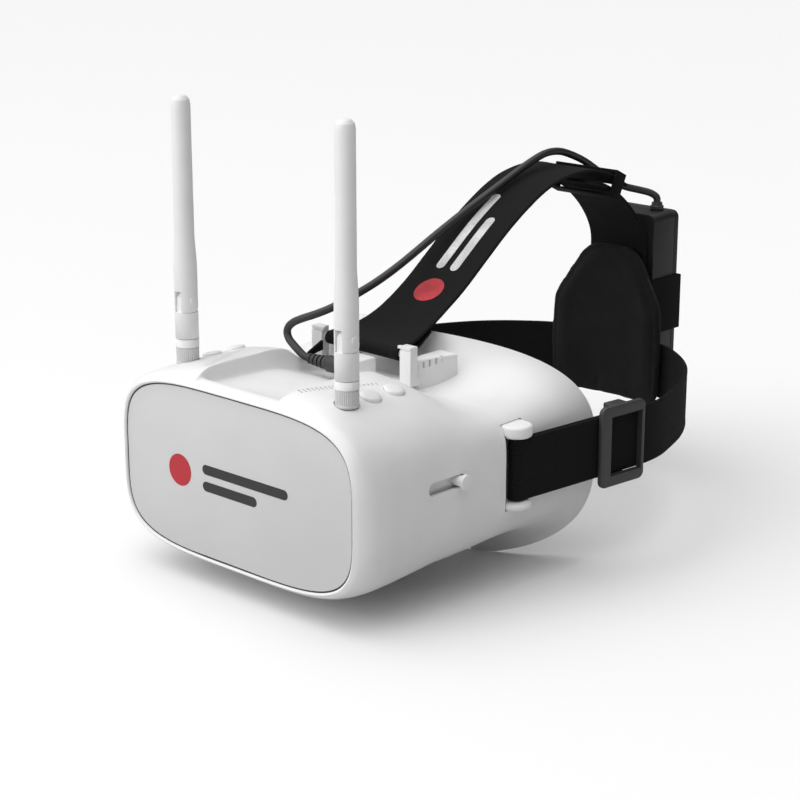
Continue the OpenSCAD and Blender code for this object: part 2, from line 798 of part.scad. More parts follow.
// Side webbing: one layer from the pad to the anchor bar, and a second layer back again
strap_dx = strap_x1 - bar_x - bar_r - 0.3 - strap_t;    // how far it leans out to the rear
function strap_x(y) = strap_x1 - strap_dx * (strap_y1 - y) / (strap_y1 - bar_y);
rear_path = [[strap_x1, strap_y1], [90.4, 174], [89, 184], [85.6, 195], [79.4, 212],
    [70.8, 228], [61.4, 240], [50.4, 250], [38, 258.35], [26, 261.98], [12, 264.6]];
module flat_strap(p) {
    translate([0, 0, strap_z - strap_h / 2])
        linear_extrude(strap_h)
            polygon(p);
}
module side_strap() {
    fold_r = bar_r + 0.3 + strap_t;
    flat_strap(ribbon(concat([[strap_x(bar_y), bar_y], [strap_x(130), 130]],
        spline(rear_path, 3)), strap_t));
    difference() {
        rod_z(bar_x, bar_y, fold_r, strap_z - strap_h / 2, strap_z + strap_h / 2);
        rod_z(bar_x, bar_y, bar_r + 0.3, strap_z - strap_h, strap_z + strap_h);
        box([bar_x - 9, bar_y, -30], [bar_x + 9, bar_y + 9, 30]);
    }
    flat_strap(ribbon([[bar_x - fold_r + strap_t, bar_y], [bar_x - fold_r + strap_t, bar_y + 1.5],
        [strap_x(98.6) - 1.9, 98.6], [strap_x(168) - 1.9, 168]], strap_t));
}
module side_strap_right() {
    color([0.1, 0.1, 0.1])
        side_strap();
}
module side_strap_left() {
    color([0.1, 0.1, 0.1])
        mirror([1, 0, 0])
            side_strap();
}
// Three-bar slider: outer bars, rails over the webbing's edges, inner middle bar
module strap_buckle() {
    half_l = buckle_l / 2;
    half_h = buckle_h / 2;
    rail_z = strap_h / 2 + 0.35;
    translate([strap_x(buckle_y), buckle_y, strap_z])
        rotate([0, 0, -atan(strap_dx / (strap_y1 - bar_y))]) {
            box([0.35, -half_l, -half_h], [3, -half_l + 6, half_h]);
            box([0.35, half_l - 2.2, -half_h], [3, half_l, half_h]);
            for (s = [0, 1])
                mirror([0, 0, s]) {
                    box([0.35, -half_l, rail_z], [3, half_l, half_h]);
                    box([-5.6, -5, rail_z], [1, 5, half_h - 0.5]);
                }
            box([-5.6, -2.2, -rail_z - 1], [-3.75, 2.2, rail_z + 1]);
        }
}
module strap_buckle_right() {
    color([0.18, 0.18, 0.18])
        strap_buckle();
}
module strap_buckle_left() {
    color([0.18, 0.18, 0.18])
        mirror([1, 0, 0])
            strap_buckle();
}

// Pad behind the head
module rear_pad() {
    color([0.1, 0.1, 0.1])
        intersection() {
            difference() {
                rod_z(0, pad_cy, pad_r + pad_t, -30, 90);
                rod_z(0, pad_cy, pad_r, -31, 91);
            }
            rotate([90, 0, 0])
                translate([0, 0, -300])
                    linear_extrude(100)
                        polygon([[9, 65], [14.7, 63.2], [19.2, 59.4], [31.8, 39.6], [34.7, 33],
                            [34.7, -8], [32, -14], [27, -16.5], [-27, -16.5], [-32, -14],
                            [-34.7, -8], [-34.7, 33], [-31.8, 39.6], [-19.2, 59.4],
                            [-14.7, 63.2], [-9, 65]]);
        }
}

// Battery case for two round cells
case_wall = 1.2;
cover_y = 284.6;        // where the cover meets the case
cell_r = 9;
cell_x = 9.15;
cell_y = 277.8;
cell_z0 = 7;
module rounded_case(grow, y0, y1) {
    r = 3.5;
    intersection() {
        rotate([90, 0, 0])
            translate([0, 0, -y1])
                linear_extrude(y1 - y0)
                    polygon([for (q = [[1, 1], [-1, 1], [-1, -1], [1, -1]])
                        for (i = [0:4])
                        let (a = atan2(q[1], q[0]) - 45 + 22.5 * i,
                            x = case_hw + grow - r, h = (case_z1 - case_z0) / 2 + grow - r)
                        [q[0] * x + r * cos(a), (case_z0 + case_z1) / 2 + q[1] * h + r * sin(a)]]);
        box([-60, y0, case_z0 - 9], [60, y1, case_z1 + 9]);
    }
}
module battery_case() {
    color([0.17, 0.17, 0.18])
        difference() {
            rounded_case(0, case_y0, cover_y);
            rounded_case(-case_wall, case_y0 + case_wall, cover_y + 1);
            rod_z(gland_x, gland_y, 2.1, 70, 90);
        }
}
module battery_cover() {
    color([0.17, 0.17, 0.18])
        difference() {
            rounded_case(0, cover_y + 0.15, case_y1);
            rounded_case(-case_wall, cover_y - 1, case_y1 - case_wall);
        }
}
module battery_cells() {
    color([0.2, 0.45, 0.75])
        both()
            rod_z(cell_x, cell_y, cell_r, cell_z0, cell_z0 + 65);
}
module battery_contacts() {
    color("silver")
        both() {
            rod_z(cell_x, cell_y, 4, case_z0 + case_wall, cell_z0);
            rod_z(cell_x, cell_y, 3, cell_z0 + 65, cell_z0 + 69);
        }
}
module battery_band() {
    color([0.08, 0.08, 0.08])
        difference() {
            box([-21.4, case_y0 - 2, 19], [21.4, back_y, 47]);
            box([-20.1, case_y0 - 0.2, 18], [20.1, case_y1 + 0.2, 48]);
        }
}
module cable_gland() {
    color([0.12, 0.12, 0.12])
        difference() {
            union() {
                rod_z(gland_x, gland_y, 2.0, 77, case_z1 + 1);
                rod_z(gland_x, gland_y, 3.4, case_z1 + 0.1, case_z1 + 2.4);
                rod_z(gland_x, gland_y, 2.7, case_z1 + 2, case_z1 + 4);
            }
            rod_z(gland_x, gland_y, 1, 70, case_z1 + 3);
        }
}
module bezel_screws() {
    color("silver")
        both()
            for (z = screw_zs) {
                rod_y(screw_x, z, screw_r, bezel_y - 4.5, bezel_y + bezel_t + 0.5);
                rod_y(screw_x, z, 1.9, bezel_y + bezel_t, bezel_y + bezel_t + 1.2);
            }
}

// Moves a piece from the panel's frame to the object's own frame
module place() {
    translate([0, -(front_y + back_y) / 2, -floor_z])
        children();
}
place() main_housing();
place() front_panel();
place() face_cup();
place() face_foam();
place() side_arm_left();
place() side_arm_right();
place() strap_bracket();
place() lcd_panel();
place() lcd_bezel();
place() main_board();
place() receiver_module();
place() button_boards();
place() eye_tunnel();
place() guide_rails();
place() lens_carriage();
place() lens();
place() focus_knobs();
place() menu_button_right();
place() channel_button_right();
place() menu_button_left();
place() channel_button_left();
place() antenna_nut_left();
place() antenna_nut_right();
place() antenna_base_left();
place() antenna_base_right();
place() antenna_whip_left();
place() antenna_whip_right();
place() sma_jacks();
place() dc_jack();
place() dc_plug();
place() power_cable();
place() card_socket();
place() top_strap_front();
place() top_strap_rear();
place() cable_keeper();
place() cable_tab();
place() side_strap_left();
place() side_strap_right();
place() strap_buckle_left();
place() strap_buckle_right();
place() rear_pad();
place() battery_case();
place() battery_cover();
place() battery_cells();
place() battery_contacts();
place() battery_band();
place() cable_gland();
place() bezel_screws();
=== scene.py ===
"""FPV goggles: the looks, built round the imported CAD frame.

Shapes are worked out in millimetres in the design's own frame, whose origin is the centre of
the front panel: x to the right seen from the front, y towards the wearer, z up.
"""

import math

import bmesh
import bpy
import numpy as np
from mathutils import Matrix, Vector


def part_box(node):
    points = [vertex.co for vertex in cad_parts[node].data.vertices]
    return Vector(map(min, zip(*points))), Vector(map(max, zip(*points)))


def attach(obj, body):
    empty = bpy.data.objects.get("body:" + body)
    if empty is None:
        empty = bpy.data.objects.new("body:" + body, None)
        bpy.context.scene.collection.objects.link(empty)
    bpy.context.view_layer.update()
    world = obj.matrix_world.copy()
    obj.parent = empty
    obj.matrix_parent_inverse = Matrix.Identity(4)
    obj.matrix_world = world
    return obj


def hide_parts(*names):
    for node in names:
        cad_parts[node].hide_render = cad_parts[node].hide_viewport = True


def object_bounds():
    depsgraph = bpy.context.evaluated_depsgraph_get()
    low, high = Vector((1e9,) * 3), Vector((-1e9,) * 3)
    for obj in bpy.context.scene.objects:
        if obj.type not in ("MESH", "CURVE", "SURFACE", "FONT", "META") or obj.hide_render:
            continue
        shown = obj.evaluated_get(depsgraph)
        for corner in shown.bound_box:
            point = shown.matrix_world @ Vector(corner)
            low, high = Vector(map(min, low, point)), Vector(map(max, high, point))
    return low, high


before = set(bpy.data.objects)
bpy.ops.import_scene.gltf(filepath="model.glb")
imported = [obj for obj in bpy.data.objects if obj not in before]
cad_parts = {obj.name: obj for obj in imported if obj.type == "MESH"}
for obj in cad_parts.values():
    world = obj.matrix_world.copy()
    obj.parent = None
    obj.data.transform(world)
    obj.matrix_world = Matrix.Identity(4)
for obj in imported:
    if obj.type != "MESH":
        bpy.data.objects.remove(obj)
cad_lo, cad_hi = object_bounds()

MM = 0.001
panel_lo, panel_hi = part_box("front_panel")
PANEL_Y = 0.2                      # the panel's face, in the design's frame
HOME = np.array((0, panel_lo.y - PANEL_Y * MM, (panel_lo.z + panel_hi.z) / 2))
ROOT = "goggles"
SIDES = (("right", 1), ("left", -1))


def at(x, y, z):
    """A point of the design's frame, in metres in the row's frame."""
    return Vector(HOME + np.array((x, y, z)) * MM)


# ---------------------------------------------------------------- camera
def make_camera():
    data = bpy.data.cameras.new("camera")
    data.sensor_width = 36
    data.lens = 91.125
    data.clip_start, data.clip_end = 0.05, 20
    cam = bpy.data.objects.new("camera", data)
    bpy.context.scene.collection.objects.link(cam)
    cam.matrix_world = Matrix((
        (0.72825, -0.19395, 0.65729, 0),
        (0.68531, 0.20610, -0.69848, 0),
        (0, 0.95912, 0.28301, 0),
        (0, 0, 0, 1)))
    cam.location = at(609.0, -544.2, 277.8)
    bpy.context.scene.camera = cam


make_camera()


# ---------------------------------------------------------------- materials
def node_material(name):
    m = bpy.data.materials.new(name)
    m.use_nodes = True
    tree = m.node_tree
    return m, tree, tree.nodes["Principled BSDF"]


def math_node(tree, operation, a, b=None):
    n = tree.nodes.new("ShaderNodeMath")
    n.operation = operation
    for socket, value in zip(n.inputs, (a, b)):
        if value is None:
            continue
        if isinstance(value, (int, float)):
            socket.default_value = value
        else:
            tree.links.new(value, socket)
    return n.outputs[0]


def noise(tree, vector, scale, detail=3.0, rough=0.5):
    n = tree.nodes.new("ShaderNodeTexNoise")
    n.inputs["Scale"].default_value = scale
    n.inputs["Detail"].default_value = detail
    n.inputs["Roughness"].default_value = rough
    tree.links.new(vector, n.inputs["Vector"])
    return n.outputs["Fac"]


def ramp(tree, fac, low, high, start=0.3, end=0.7):
    n = tree.nodes.new("ShaderNodeValToRGB")
    n.color_ramp.elements[0].position = start
    n.color_ramp.elements[0].color = (*low, 1)
    n.color_ramp.elements[1].position = end
    n.color_ramp.elements[1].color = (*high, 1)
    tree.links.new(fac, n.inputs["Fac"])
    return n.outputs["Color"]


def rescale(tree, fac, low, high):
    n = tree.nodes.new("ShaderNodeMapRange")
    n.inputs["From Min"].default_value = 0.3
    n.inputs["From Max"].default_value = 0.7
    n.inputs["To Min"].default_value = low
    n.inputs["To Max"].default_value = high
    tree.links.new(fac, n.inputs["Value"])
    return n.outputs["Result"]


def bump(tree, bsdf, height, distance):
    n = tree.nodes.new("ShaderNodeBump")
    n.inputs["Distance"].default_value = distance
    n.inputs["Strength"].default_value = 1.0
    tree.links.new(height, n.inputs["Height"])
    tree.links.new(n.outputs["Normal"], bsdf.inputs["Normal"])


def tint(color, k):
    return tuple(min(1.0, c * k) for c in color)


def plastic(name, color, rough=0.4, grain=0.35, depth=0.012, spread=0.03):
    """Moulded plastic: a fine spark-eroded grain, and faint clouds in colour and gloss."""
    m, tree, bsdf = node_material(name)
    where = tree.nodes.new("ShaderNodeTexCoord").outputs["Object"]
    cloud = noise(tree, where, 45, 4)
    fine = noise(tree, where, 1000 / grain, 2, 0.6)
    tree.links.new(ramp(tree, cloud, tint(color, 1 - spread), tint(color, 1 + spread)),
                   bsdf.inputs["Base Color"])
    tree.links.new(rescale(tree, fine, rough - 0.06, rough + 0.06), bsdf.inputs["Roughness"])
    bump(tree, bsdf, fine, depth * MM)
    return m


def woven(name, color, pitch=1.1, depth=0.07, sheen=0.25):
    """Webbing: a flat weave along the strap's own lengthwise and crosswise measures."""
    m, tree, bsdf = node_material(name)
    uv = tree.nodes.new("ShaderNodeUVMap")
    uv.uv_map = "strap"
    split = tree.nodes.new("ShaderNodeSeparateXYZ")
    tree.links.new(uv.outputs["UV"], split.inputs[0])
    turn = 2 * math.pi * 1000 / pitch
    along = math_node(tree, "SINE", math_node(tree, "MULTIPLY", split.outputs["X"], turn))
    across = math_node(tree, "SINE", math_node(tree, "MULTIPLY", split.outputs["Y"], turn * 0.75))
    weave = math_node(tree, "MULTIPLY", along, across)
    ribs = math_node(tree, "MULTIPLY", across, 0.5)
    where = tree.nodes.new("ShaderNodeTexCoord").outputs["Object"]
    fuzz = noise(tree, where, 2600, 3, 0.7)
    height = math_node(tree, "ADD", math_node(tree, "ADD", weave, ribs), fuzz)
    shade = rescale(tree, height, 0.0, 1.0)
    tree.links.new(ramp(tree, shade, tint(color, 0.7), tint(color, 1.35), 0, 1),
                   bsdf.inputs["Base Color"])
    bsdf.inputs["Roughness"].default_value = 0.85
    bsdf.inputs["Specular IOR Level"].default_value = 0.12
    bsdf.inputs["Sheen Weight"].default_value = sheen
    bsdf.inputs["Sheen Roughness"].default_value = 0.5
    bump(tree, bsdf, height, depth * MM)
    return m


def brushed_cloth(name, color, sheen=0.3, pile=0.25):
    """Brushed cloth over foam: short pile, with a faint mottling."""
    m, tree, bsdf = node_material(name)
    where = tree.nodes.new("ShaderNodeTexCoord").outputs["Object"]
    fibre = noise(tree, where, 1500, 5, 0.75)
    cloud = noise(tree, where, 60, 3)
    both = math_node(tree, "MULTIPLY", fibre, cloud)
    tree.links.new(ramp(tree, both, tint(color, 0.75), tint(color, 1.4), 0.15, 0.4),
                   bsdf.inputs["Base Color"])
    bsdf.inputs["Roughness"].default_value = 0.92
    bsdf.inputs["Specular IOR Level"].default_value = 0.2
    bsdf.inputs["Sheen Weight"].default_value = sheen
    bsdf.inputs["Sheen Roughness"].default_value = 0.6
    bump(tree, bsdf, fibre, pile * MM)
    return m


def metal(name, color, rough=0.3):
    """Plated metal with fine drawing lines."""
    m, tree, bsdf = node_material(name)
    where = tree.nodes.new("ShaderNodeTexCoord").outputs["Object"]
    lines = noise(tree, where, 1800, 2, 0.6)
    tree.links.new(ramp(tree, lines, tint(color, 0.9), tint(color, 1.08)), bsdf.inputs["Base Color"])
    tree.links.new(rescale(tree, lines, rough - 0.08, rough + 0.1), bsdf.inputs["Roughness"])
    bsdf.inputs["Metallic"].default_value = 1.0
    bump(tree, bsdf, lines, 0.01 * MM)
    return m


def clear_plastic(name):
    m, tree, bsdf = node_material(name)
    where = tree.nodes.new("ShaderNodeTexCoord").outputs["Object"]
    tree.links.new(rescale(tree, noise(tree, where, 90, 2), 0.03, 0.08), bsdf.inputs["Roughness"])
    bsdf.inputs["Base Color"].default_value = (0.95, 0.97, 1.0, 1)
    bsdf.inputs["Transmission Weight"].default_value = 1.0
    bsdf.inputs["IOR"].default_value = 1.49
    return m


def grey(v):
    return (v, v, v)


WHITE = plastic("white_shell", grey(0.87), 0.42)
PANEL = plastic("panel_grey", grey(0.64), 0.38, depth=0.006, spread=0.015)
ANTENNA = plastic("antenna_jacket", grey(0.88), 0.5, spread=0.02)
NUT = plastic("nut_grey", grey(0.66), 0.5)
KNOB = plastic("knob_white", grey(0.90), 0.35)
WEBBING = woven("webbing_black", (0.008, 0.008, 0.0085), sheen=0.02)
ELASTIC = woven("elastic_black", (0.006, 0.006, 0.0065), pitch=0.8, depth=0.06, sheen=0.02)
PAD = brushed_cloth("pad_cloth", (0.0085, 0.0085, 0.009), sheen=0.04)
FOAM = brushed_cloth("foam_cloth", (0.02, 0.02, 0.022), pile=0.15)
BUCKLE = plastic("buckle_nylon", grey(0.045), 0.45, grain=0.5)
BATTERY = plastic("battery_plastic", grey(0.010), 0.5, grain=0.4)
JACKET = plastic("cable_jacket", grey(0.030), 0.42, grain=0.6)
BLACK = plastic("black_plastic", grey(0.012), 0.5)
SCREEN = plastic("screen_glass", (0.006, 0.006, 0.009), 0.12, depth=0.001)
GOLD = metal("gold_plate", (0.85, 0.62, 0.25), 0.25)
STEEL = metal("plated_steel", (0.6, 0.6, 0.62), 0.32)
BOARD = plastic("solder_resist", (0.015, 0.13, 0.05), 0.3, grain=0.8)
WRAP = plastic("cell_wrap", (0.06, 0.2, 0.5), 0.3)
LENS = clear_plastic("clear_lens")
MARK_RED = plastic("mark_red", (0.50, 0.02, 0.03), 0.45)
# near black: the printed bars on the panel, and painted shade in the gap round the panel
DARK_PRINT_AND_GAP_SHADE = plastic("dark_print_and_gap_shade", grey(0.025), 0.45)
PRINT_RED = brushed_cloth("print_red", (0.42, 0.05, 0.06), sheen=0.0, pile=0.05)
PRINT_WHITE = brushed_cloth("print_white", grey(0.62), sheen=0.0, pile=0.05)


# ---------------------------------------------------------------- mesh helpers
def dress(obj, material, body=ROOT, replaces=(), sharp=35):
    """Gives a mesh its material and shading, and says what it rides on and stands for."""
    obj.data.materials.clear()
    obj.data.materials.append(material)
    obj.data.shade_smooth()
    obj.data.set_sharp_from_angle(angle=math.radians(sharp))
    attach(obj, body)
    if replaces:
        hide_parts(*replaces)
    return obj


def new_object(name, mesh):
    obj = bpy.data.objects.new(name, mesh)
    bpy.context.scene.collection.objects.link(obj)
    return obj


def mesh_object(name, points, faces):
    """An object from points in the design's frame."""
    mesh = bpy.data.meshes.new(name)
    mesh.from_pydata((np.asarray(points, float) * MM + HOME).tolist(), [], faces)
    mesh.update()
    return new_object(name, mesh)


def from_bmesh(name, bm):
    for v in bm.verts:
        v.co = Vector(HOME) + v.co * MM
    mesh = bpy.data.meshes.new(name)
    bm.to_mesh(mesh)
    bm.free()
    return new_object(name, mesh)


def wrap_faces(rows, columns, closed):
    """Quads through a grid of points whose columns close on themselves; closed joins the ends."""
    faces = []
    for i in range(rows if closed else rows - 1):
        a, b = i * columns, (i + 1) % rows * columns
        for j in range(columns):
            k = (j + 1) % columns
            faces.append((a + j, a + k, b + k, b + j))
    return faces


def skin(name, rings, closed=False):
    """A solid through rings of equal length. Open ends get a flat cap."""
    rings = np.asarray(rings, float)
    rows, columns = rings.shape[:2]
    faces = wrap_faces(rows, columns, closed)
    if not closed:
        faces.append(tuple(range(columns))[::-1])
        faces.append(tuple((rows - 1) * columns + j for j in range(columns)))
    obj = mesh_object(name, rings.reshape(-1, 3), faces)
    outward(obj)
    return obj


def outward(obj):
    bm = bmesh.new()
    bm.from_mesh(obj.data)
    bmesh.ops.recalc_face_normals(bm, faces=bm.faces)
    bm.to_mesh(obj.data)
    bm.free()


AXES = {"x": Matrix.Rotation(math.pi / 2, 4, "Y"), "y": Matrix.Rotation(-math.pi / 2, 4, "X"),
        "z": Matrix.Identity(4)}


def lathe(name, profile, origin, axis="z", steps=64, wobble=None):
    """Turns (radius, height) points about an axis. wobble(angle, height) may change the radius."""
    rings = []
    for r, h in profile:
        ring = []
        for i in range(steps):
            a = 2 * math.pi * i / steps
            s = r + (wobble(a, h) if wobble else 0)
            ring.append(AXES[axis] @ Vector((s * math.cos(a), s * math.sin(a), h)))
        rings.append([tuple(Vector(origin) + p) for p in ring])
    return skin(name, rings)


def cylinder(radius, length, centre, axis="z", steps=48):
    bm = bmesh.new()
    bmesh.ops.create_cone(bm, cap_ends=True, segments=steps, radius1=radius, radius2=radius, depth=length)
    bm.transform(Matrix.Translation(centre) @ AXES[axis])
    return bm


def block(lo, hi, turn=0.0, round_by=0.0, segments=3):
    """A box between two corners, turned about Z through its middle, with its edges rounded."""
    lo, hi = Vector(lo), Vector(hi)
    bm = bmesh.new()
    bmesh.ops.create_cube(bm, size=1)
    bm.transform(Matrix.Diagonal((*(hi - lo), 1)))
    if round_by:
        bmesh.ops.bevel(bm, geom=list(bm.edges), offset=round_by, segments=segments, profile=0.5,
                        affect="EDGES")
    bm.transform(Matrix.Translation((lo + hi) / 2) @ Matrix.Rotation(turn, 4, "Z"))
    return bm


def prism(outline, z0, z1, round_by=0.0, segments=3):
    """An upright prism over a plan outline, with its edges rounded."""
    bm = bmesh.new()
    low = [bm.verts.new((x, y, z0)) for x, y in outline]
    high = [bm.verts.new((x, y, z1)) for x, y in outline]
    n = len(outline)
    bm.faces.new(low[::-1])
    bm.faces.new(high)
    for i in range(n):
        bm.faces.new((low[i], low[(i + 1) % n], high[(i + 1) % n], high[i]))
    if round_by:
        bmesh.ops.bevel(bm, geom=list(bm.edges), offset=round_by, segments=segments, profile=0.5,
                        affect="EDGES")
    return bm


def mirrored(bm):
    """A copy of a bmesh on the other side of the object."""
    other = bm.copy()
    other.transform(Matrix.Diagonal((-1, 1, 1, 1)))
    bmesh.ops.reverse_faces(other, faces=other.faces)
    return other


def combine(obj, tools, operation="DIFFERENCE"):
    """Cuts closed shapes from obj, or adds them to it. The shapes don't touch each other."""
    joined = bmesh.new()
    for bm in tools:
        part = bpy.data.meshes.new("part")
        bm.to_mesh(part)
        bm.free()
        joined.from_mesh(part)
        bpy.data.meshes.remove(part)
    tool = from_bmesh("tool", joined)
    outward(tool)
    mod = obj.modifiers.new("combine", "BOOLEAN")
    mod.operation = operation
    mod.solver = "MANIFOLD"
    mod.object = tool
    apply_modifiers(obj)
    bpy.data.objects.remove(tool)
    return obj


def cut_with(obj, tool, solver="MANIFOLD"):
    """Cuts one closed object from another and removes the cutter."""
    mod = obj.modifiers.new("cut", "BOOLEAN")
    mod.operation = "DIFFERENCE"
    mod.solver = solver
    mod.object = tool
    apply_modifiers(obj)
    bpy.data.objects.remove(tool)


def apply_modifiers(obj):
    bpy.context.view_layer.update()
    graph = bpy.context.evaluated_depsgraph_get()
    mesh = bpy.data.meshes.new_from_object(obj.evaluated_get(graph))
    obj.modifiers.clear()
    old = obj.data
    obj.data = mesh
    bpy.data.meshes.remove(old)


def rounded(node, width, material, body=ROOT, segments=2, angle=28):
    """A copy of a CAD node with its edges rounded, which stands for the node."""
    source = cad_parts[node]
    bm = bmesh.new()
    bm.from_mesh(source.data)
    bmesh.ops.remove_doubles(bm, verts=bm.verts, dist=0.002 * MM)
    bmesh.ops.dissolve_limit(bm, angle_limit=math.radians(1.5), verts=bm.verts, edges=bm.edges)
    sharp = [e for e in bm.edges if len(e.link_faces) == 2
             and e.calc_face_angle(0) > math.radians(angle)]
    if width:
        bmesh.ops.bevel(bm, geom=sharp, offset=width * MM, segments=segments, profile=0.5,
                        affect="EDGES", clamp_overlap=True)
    mesh = bpy.data.meshes.new(node + "_skin")
    bm.to_mesh(mesh)
    bm.free()
    obj = new_object(mesh.name, mesh)
    return dress(obj, material, body, (node,))


def curve_through(xs, ys, x):
    """Smooth curve through given values, with one row of ys for each x."""
    xs, ys, x = np.asarray(xs, float), np.asarray(ys, float), np.asarray(x, float)
    slope = np.gradient(ys, xs, axis=0)
    i = np.clip(np.searchsorted(xs, x) - 1, 0, len(xs) - 2)
    h = xs[i + 1] - xs[i]
    t = (x - xs[i]) / h
    if ys.ndim > 1:
        h, t = h[:, None], t[:, None]
    return ((2 * t**3 - 3 * t**2 + 1) * ys[i] + (t**3 - 2 * t**2 + t) * h * slope[i]
            + (3 * t**2 - 2 * t**3) * ys[i + 1] + (t**3 - t**2) * h * slope[i + 1])


def spline(points, k):
    """Catmull-Rom curve through points, k steps to each stretch."""
    p = np.asarray(points, float)
    out = []
    for i in range(len(p) - 1):
        a, b, c, d = p[max(i - 1, 0)], p[i], p[i + 1], p[min(i + 2, len(p) - 1)]
        for u in np.linspace(0, 1, k, endpoint=False):
            out.append(0.5 * (2 * b + (c - a) * u + (2 * a - 5 * b + 4 * c - d) * u**2
                              + (3 * b - a - 3 * c + d) * u**3))
    return np.array(out + [p[-1]])


def smooth_step(v):
    v = np.clip(v, 0, 1)
    return v * v * (3 - 2 * v)


# ---------------------------------------------------------------- the lead
CABLE_D = 3.6
CABLE_ROUTE = [
    (-21.5, 65.5, 39), (-24.6, 65.5, 39.6), (-28.8, 65.5, 42.2), (-34.4, 65.8, 45.6),
    (-36, 66.5, 49.5), (-33, 67, 53), (-28, 68, 55.5), (-22, 71.5, 58), (-17, 78, 61),
    (-14.5, 91, 65.5), (-13.5, 102, 69), (-13, 114, 73.5), (-12.5, 126, 78.8),
    (-12, 138, 84.4), (-11, 150, 90), (-8.5, 162, 96.6), (-5, 174, 103.4), (-4, 186, 108.6),
    (-4, 198, 113), (-4.5, 210, 116), (-5, 221, 115.6), (-5, 231, 112.4), (-5, 241, 108.2),
    (-4, 250, 102.6), (-2, 259, 96.4), (0.5, 267, 92.4), (4, 274, 90.4), (8, 279, 88.8),
    (11, 281, 86.6), (11, 281, 84)]


def cut_corners(p, times):
    for _ in range(times):
        inner = [a * (1 - u) + b * u for a, b in zip(p[:-1], p[1:]) for u in (0.25, 0.75)]
        p = [p[0], *inner, p[-1]]
    return p


def make_cable():
    path = cut_corners([np.array(p, float) for p in reversed(CABLE_ROUTE)], 3)
    data = bpy.data.curves.new("power_lead", "CURVE")
    data.dimensions = "3D"
    data.bevel_depth = CABLE_D / 2 * MM
    data.bevel_resolution = 6
    data.use_fill_caps = True
    line = data.splines.new("POLY")
    line.points.add(len(path) - 1)
    for q, p in zip(line.points, path):
        q.co = (*at(*p), 1)
    line.use_smooth = True
    lead = new_object("power_lead", data)
    data.materials.append(JACKET)
    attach(lead, ROOT)
    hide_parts("power_cable")
    length = sum(float(np.linalg.norm(b - a)) for a, b in zip(path[:-1], path[1:])) * MM
    return lead, length


lead, lead_length = make_cable()
plug = rounded("dc_plug", 0.25, JACKET)

# ---------------------------------------------------------------- housing
FRONT_Y, HOUSE_Y = -0.6, 84.0
WALL = 2.2
PANEL_HW, PANEL_HH, PANEL_N, PANEL_T = 70.0, 37.3, 4.1, 2.0
PANEL_GAP = 0.6                    # gap round the panel; a near-black strip at its bottom is painted shade, the dark line round the panel
# Stations: depth, half width, top, its squareness, bottom, its squareness
STATIONS = np.array([
    (FRONT_Y, 71.3, 38.6, 4.2, 38.4, 4.2), (0.4, 72.6, 39.8, 4.2, 39.5, 4.2),
    (2.4, 74.4, 41.4, 4, 40.6, 4.1), (6, 76.5, 43.4, 3.5, 41.3, 4),
    (12, 77.9, 45.2, 3.1, 41.5, 4), (22, 78.2, 45.8, 3, 41.2, 4),
    (36, 78.5, 45.8, 3, 40.0, 4), (50, 78.9, 45.6, 3, 38.4, 4),
    (58, 79.2, 43.8, 3.1, 37.4, 4.2), (65, 79.5, 38.6, 3.7, 36.4, 4.4),
    (73, 79.7, 33.4, 4.8, 35.2, 4.7), (HOUSE_Y, 80.0, 30, 6, 33.6, 5)])
TROUGH_HW = 25.4
# The trough's floor down its middle: depth, height
FLOOR = np.array([(-2, 41.1), (3, 41.2), (6, 41.1), (7.6, 40.4), (9.2, 39.0), (11, 38.6),
                  (30, 37.5), (50, 36.2), (60, 33.4), (72, 30.8), (90, 29.8)])


def squircle(c, s, n):
    """Distance from the middle to a unit superellipse in direction (c, s)."""
    return (np.abs(c)**n + np.abs(s)**n)**(-1 / n)


def even_angles(count):
    """Directions spaced evenly round the housing, and closer together at the trough's walls."""
    a = np.linspace(0, 2 * np.pi, 20001)
    c, s = np.cos(a), np.sin(a)
    rho = squircle(c, s, 3.3)
    x, z = 78.5 * c * rho, np.where(s > 0, 45.8, 41.0) * s * rho
    step = np.hypot(np.diff(x), np.diff(z))
    middle = (x[1:] + x[:-1]) / 2
    near = np.exp(-((np.abs(middle) - TROUGH_HW - 0.5) / 3)**2) * (z[1:] > 0)
    total = np.concatenate([[0], np.cumsum(step * (1 + 2.5 * near))])
    wanted = np.linspace(0, total[-1], count, endpoint=False)
    return np.interp(wanted, total, a)


ANGLES = even_angles(440)
COS, SIN = np.cos(ANGLES), np.sin(ANGLES)
TOP = SIN >= 0


def soft_min(a, b, r):
    """The lower of two heights, with the corner between them rounded."""
    h = np.clip(0.5 + 0.5 * (b - a) / r, 0, 1)
    return b * (1 - h) + a * h - r * h * (1 - h)


def trough_height(x, y):
    """Height of the trough's floor and walls."""
    d = np.abs(x) - TROUGH_HW
    rise = 0.4 * np.log1p(np.exp(np.clip(d / 0.4, -40, 40)))
    return curve_through(FLOOR[:, 0], FLOOR[:, 1], np.full_like(x, y)) + 6 * rise


def house_ring(s, t=0.0):
    y, hw, top, n_top, low, n_low = s
    rho = np.where(TOP, squircle(COS, SIN, n_top), squircle(COS, SIN, n_low))
    x = (hw - t) * COS * rho
    z = np.where(TOP, top - t, low - t) * SIN * rho
    cut = soft_min(z, trough_height(x, y) - t, 2.6)
    return np.stack([x, np.full_like(x, y), np.where(TOP & (np.abs(x) < 45), cut, z)], 1)


def flat_ring(hw, hh, n, y):
    rho = squircle(COS, SIN, n)
    return np.stack([hw * COS * rho, np.full_like(rho, y), hh * SIN * rho], 1)


def station_at(y):
    return np.array([y, *curve_through(STATIONS[:, 0], STATIONS[:, 1:], [y])[0]])


VENT_N = 19                        # slots in the row on each hump
VENT_START, VENT_RUN = (28.8, 12.4), (12.6, 32.2)


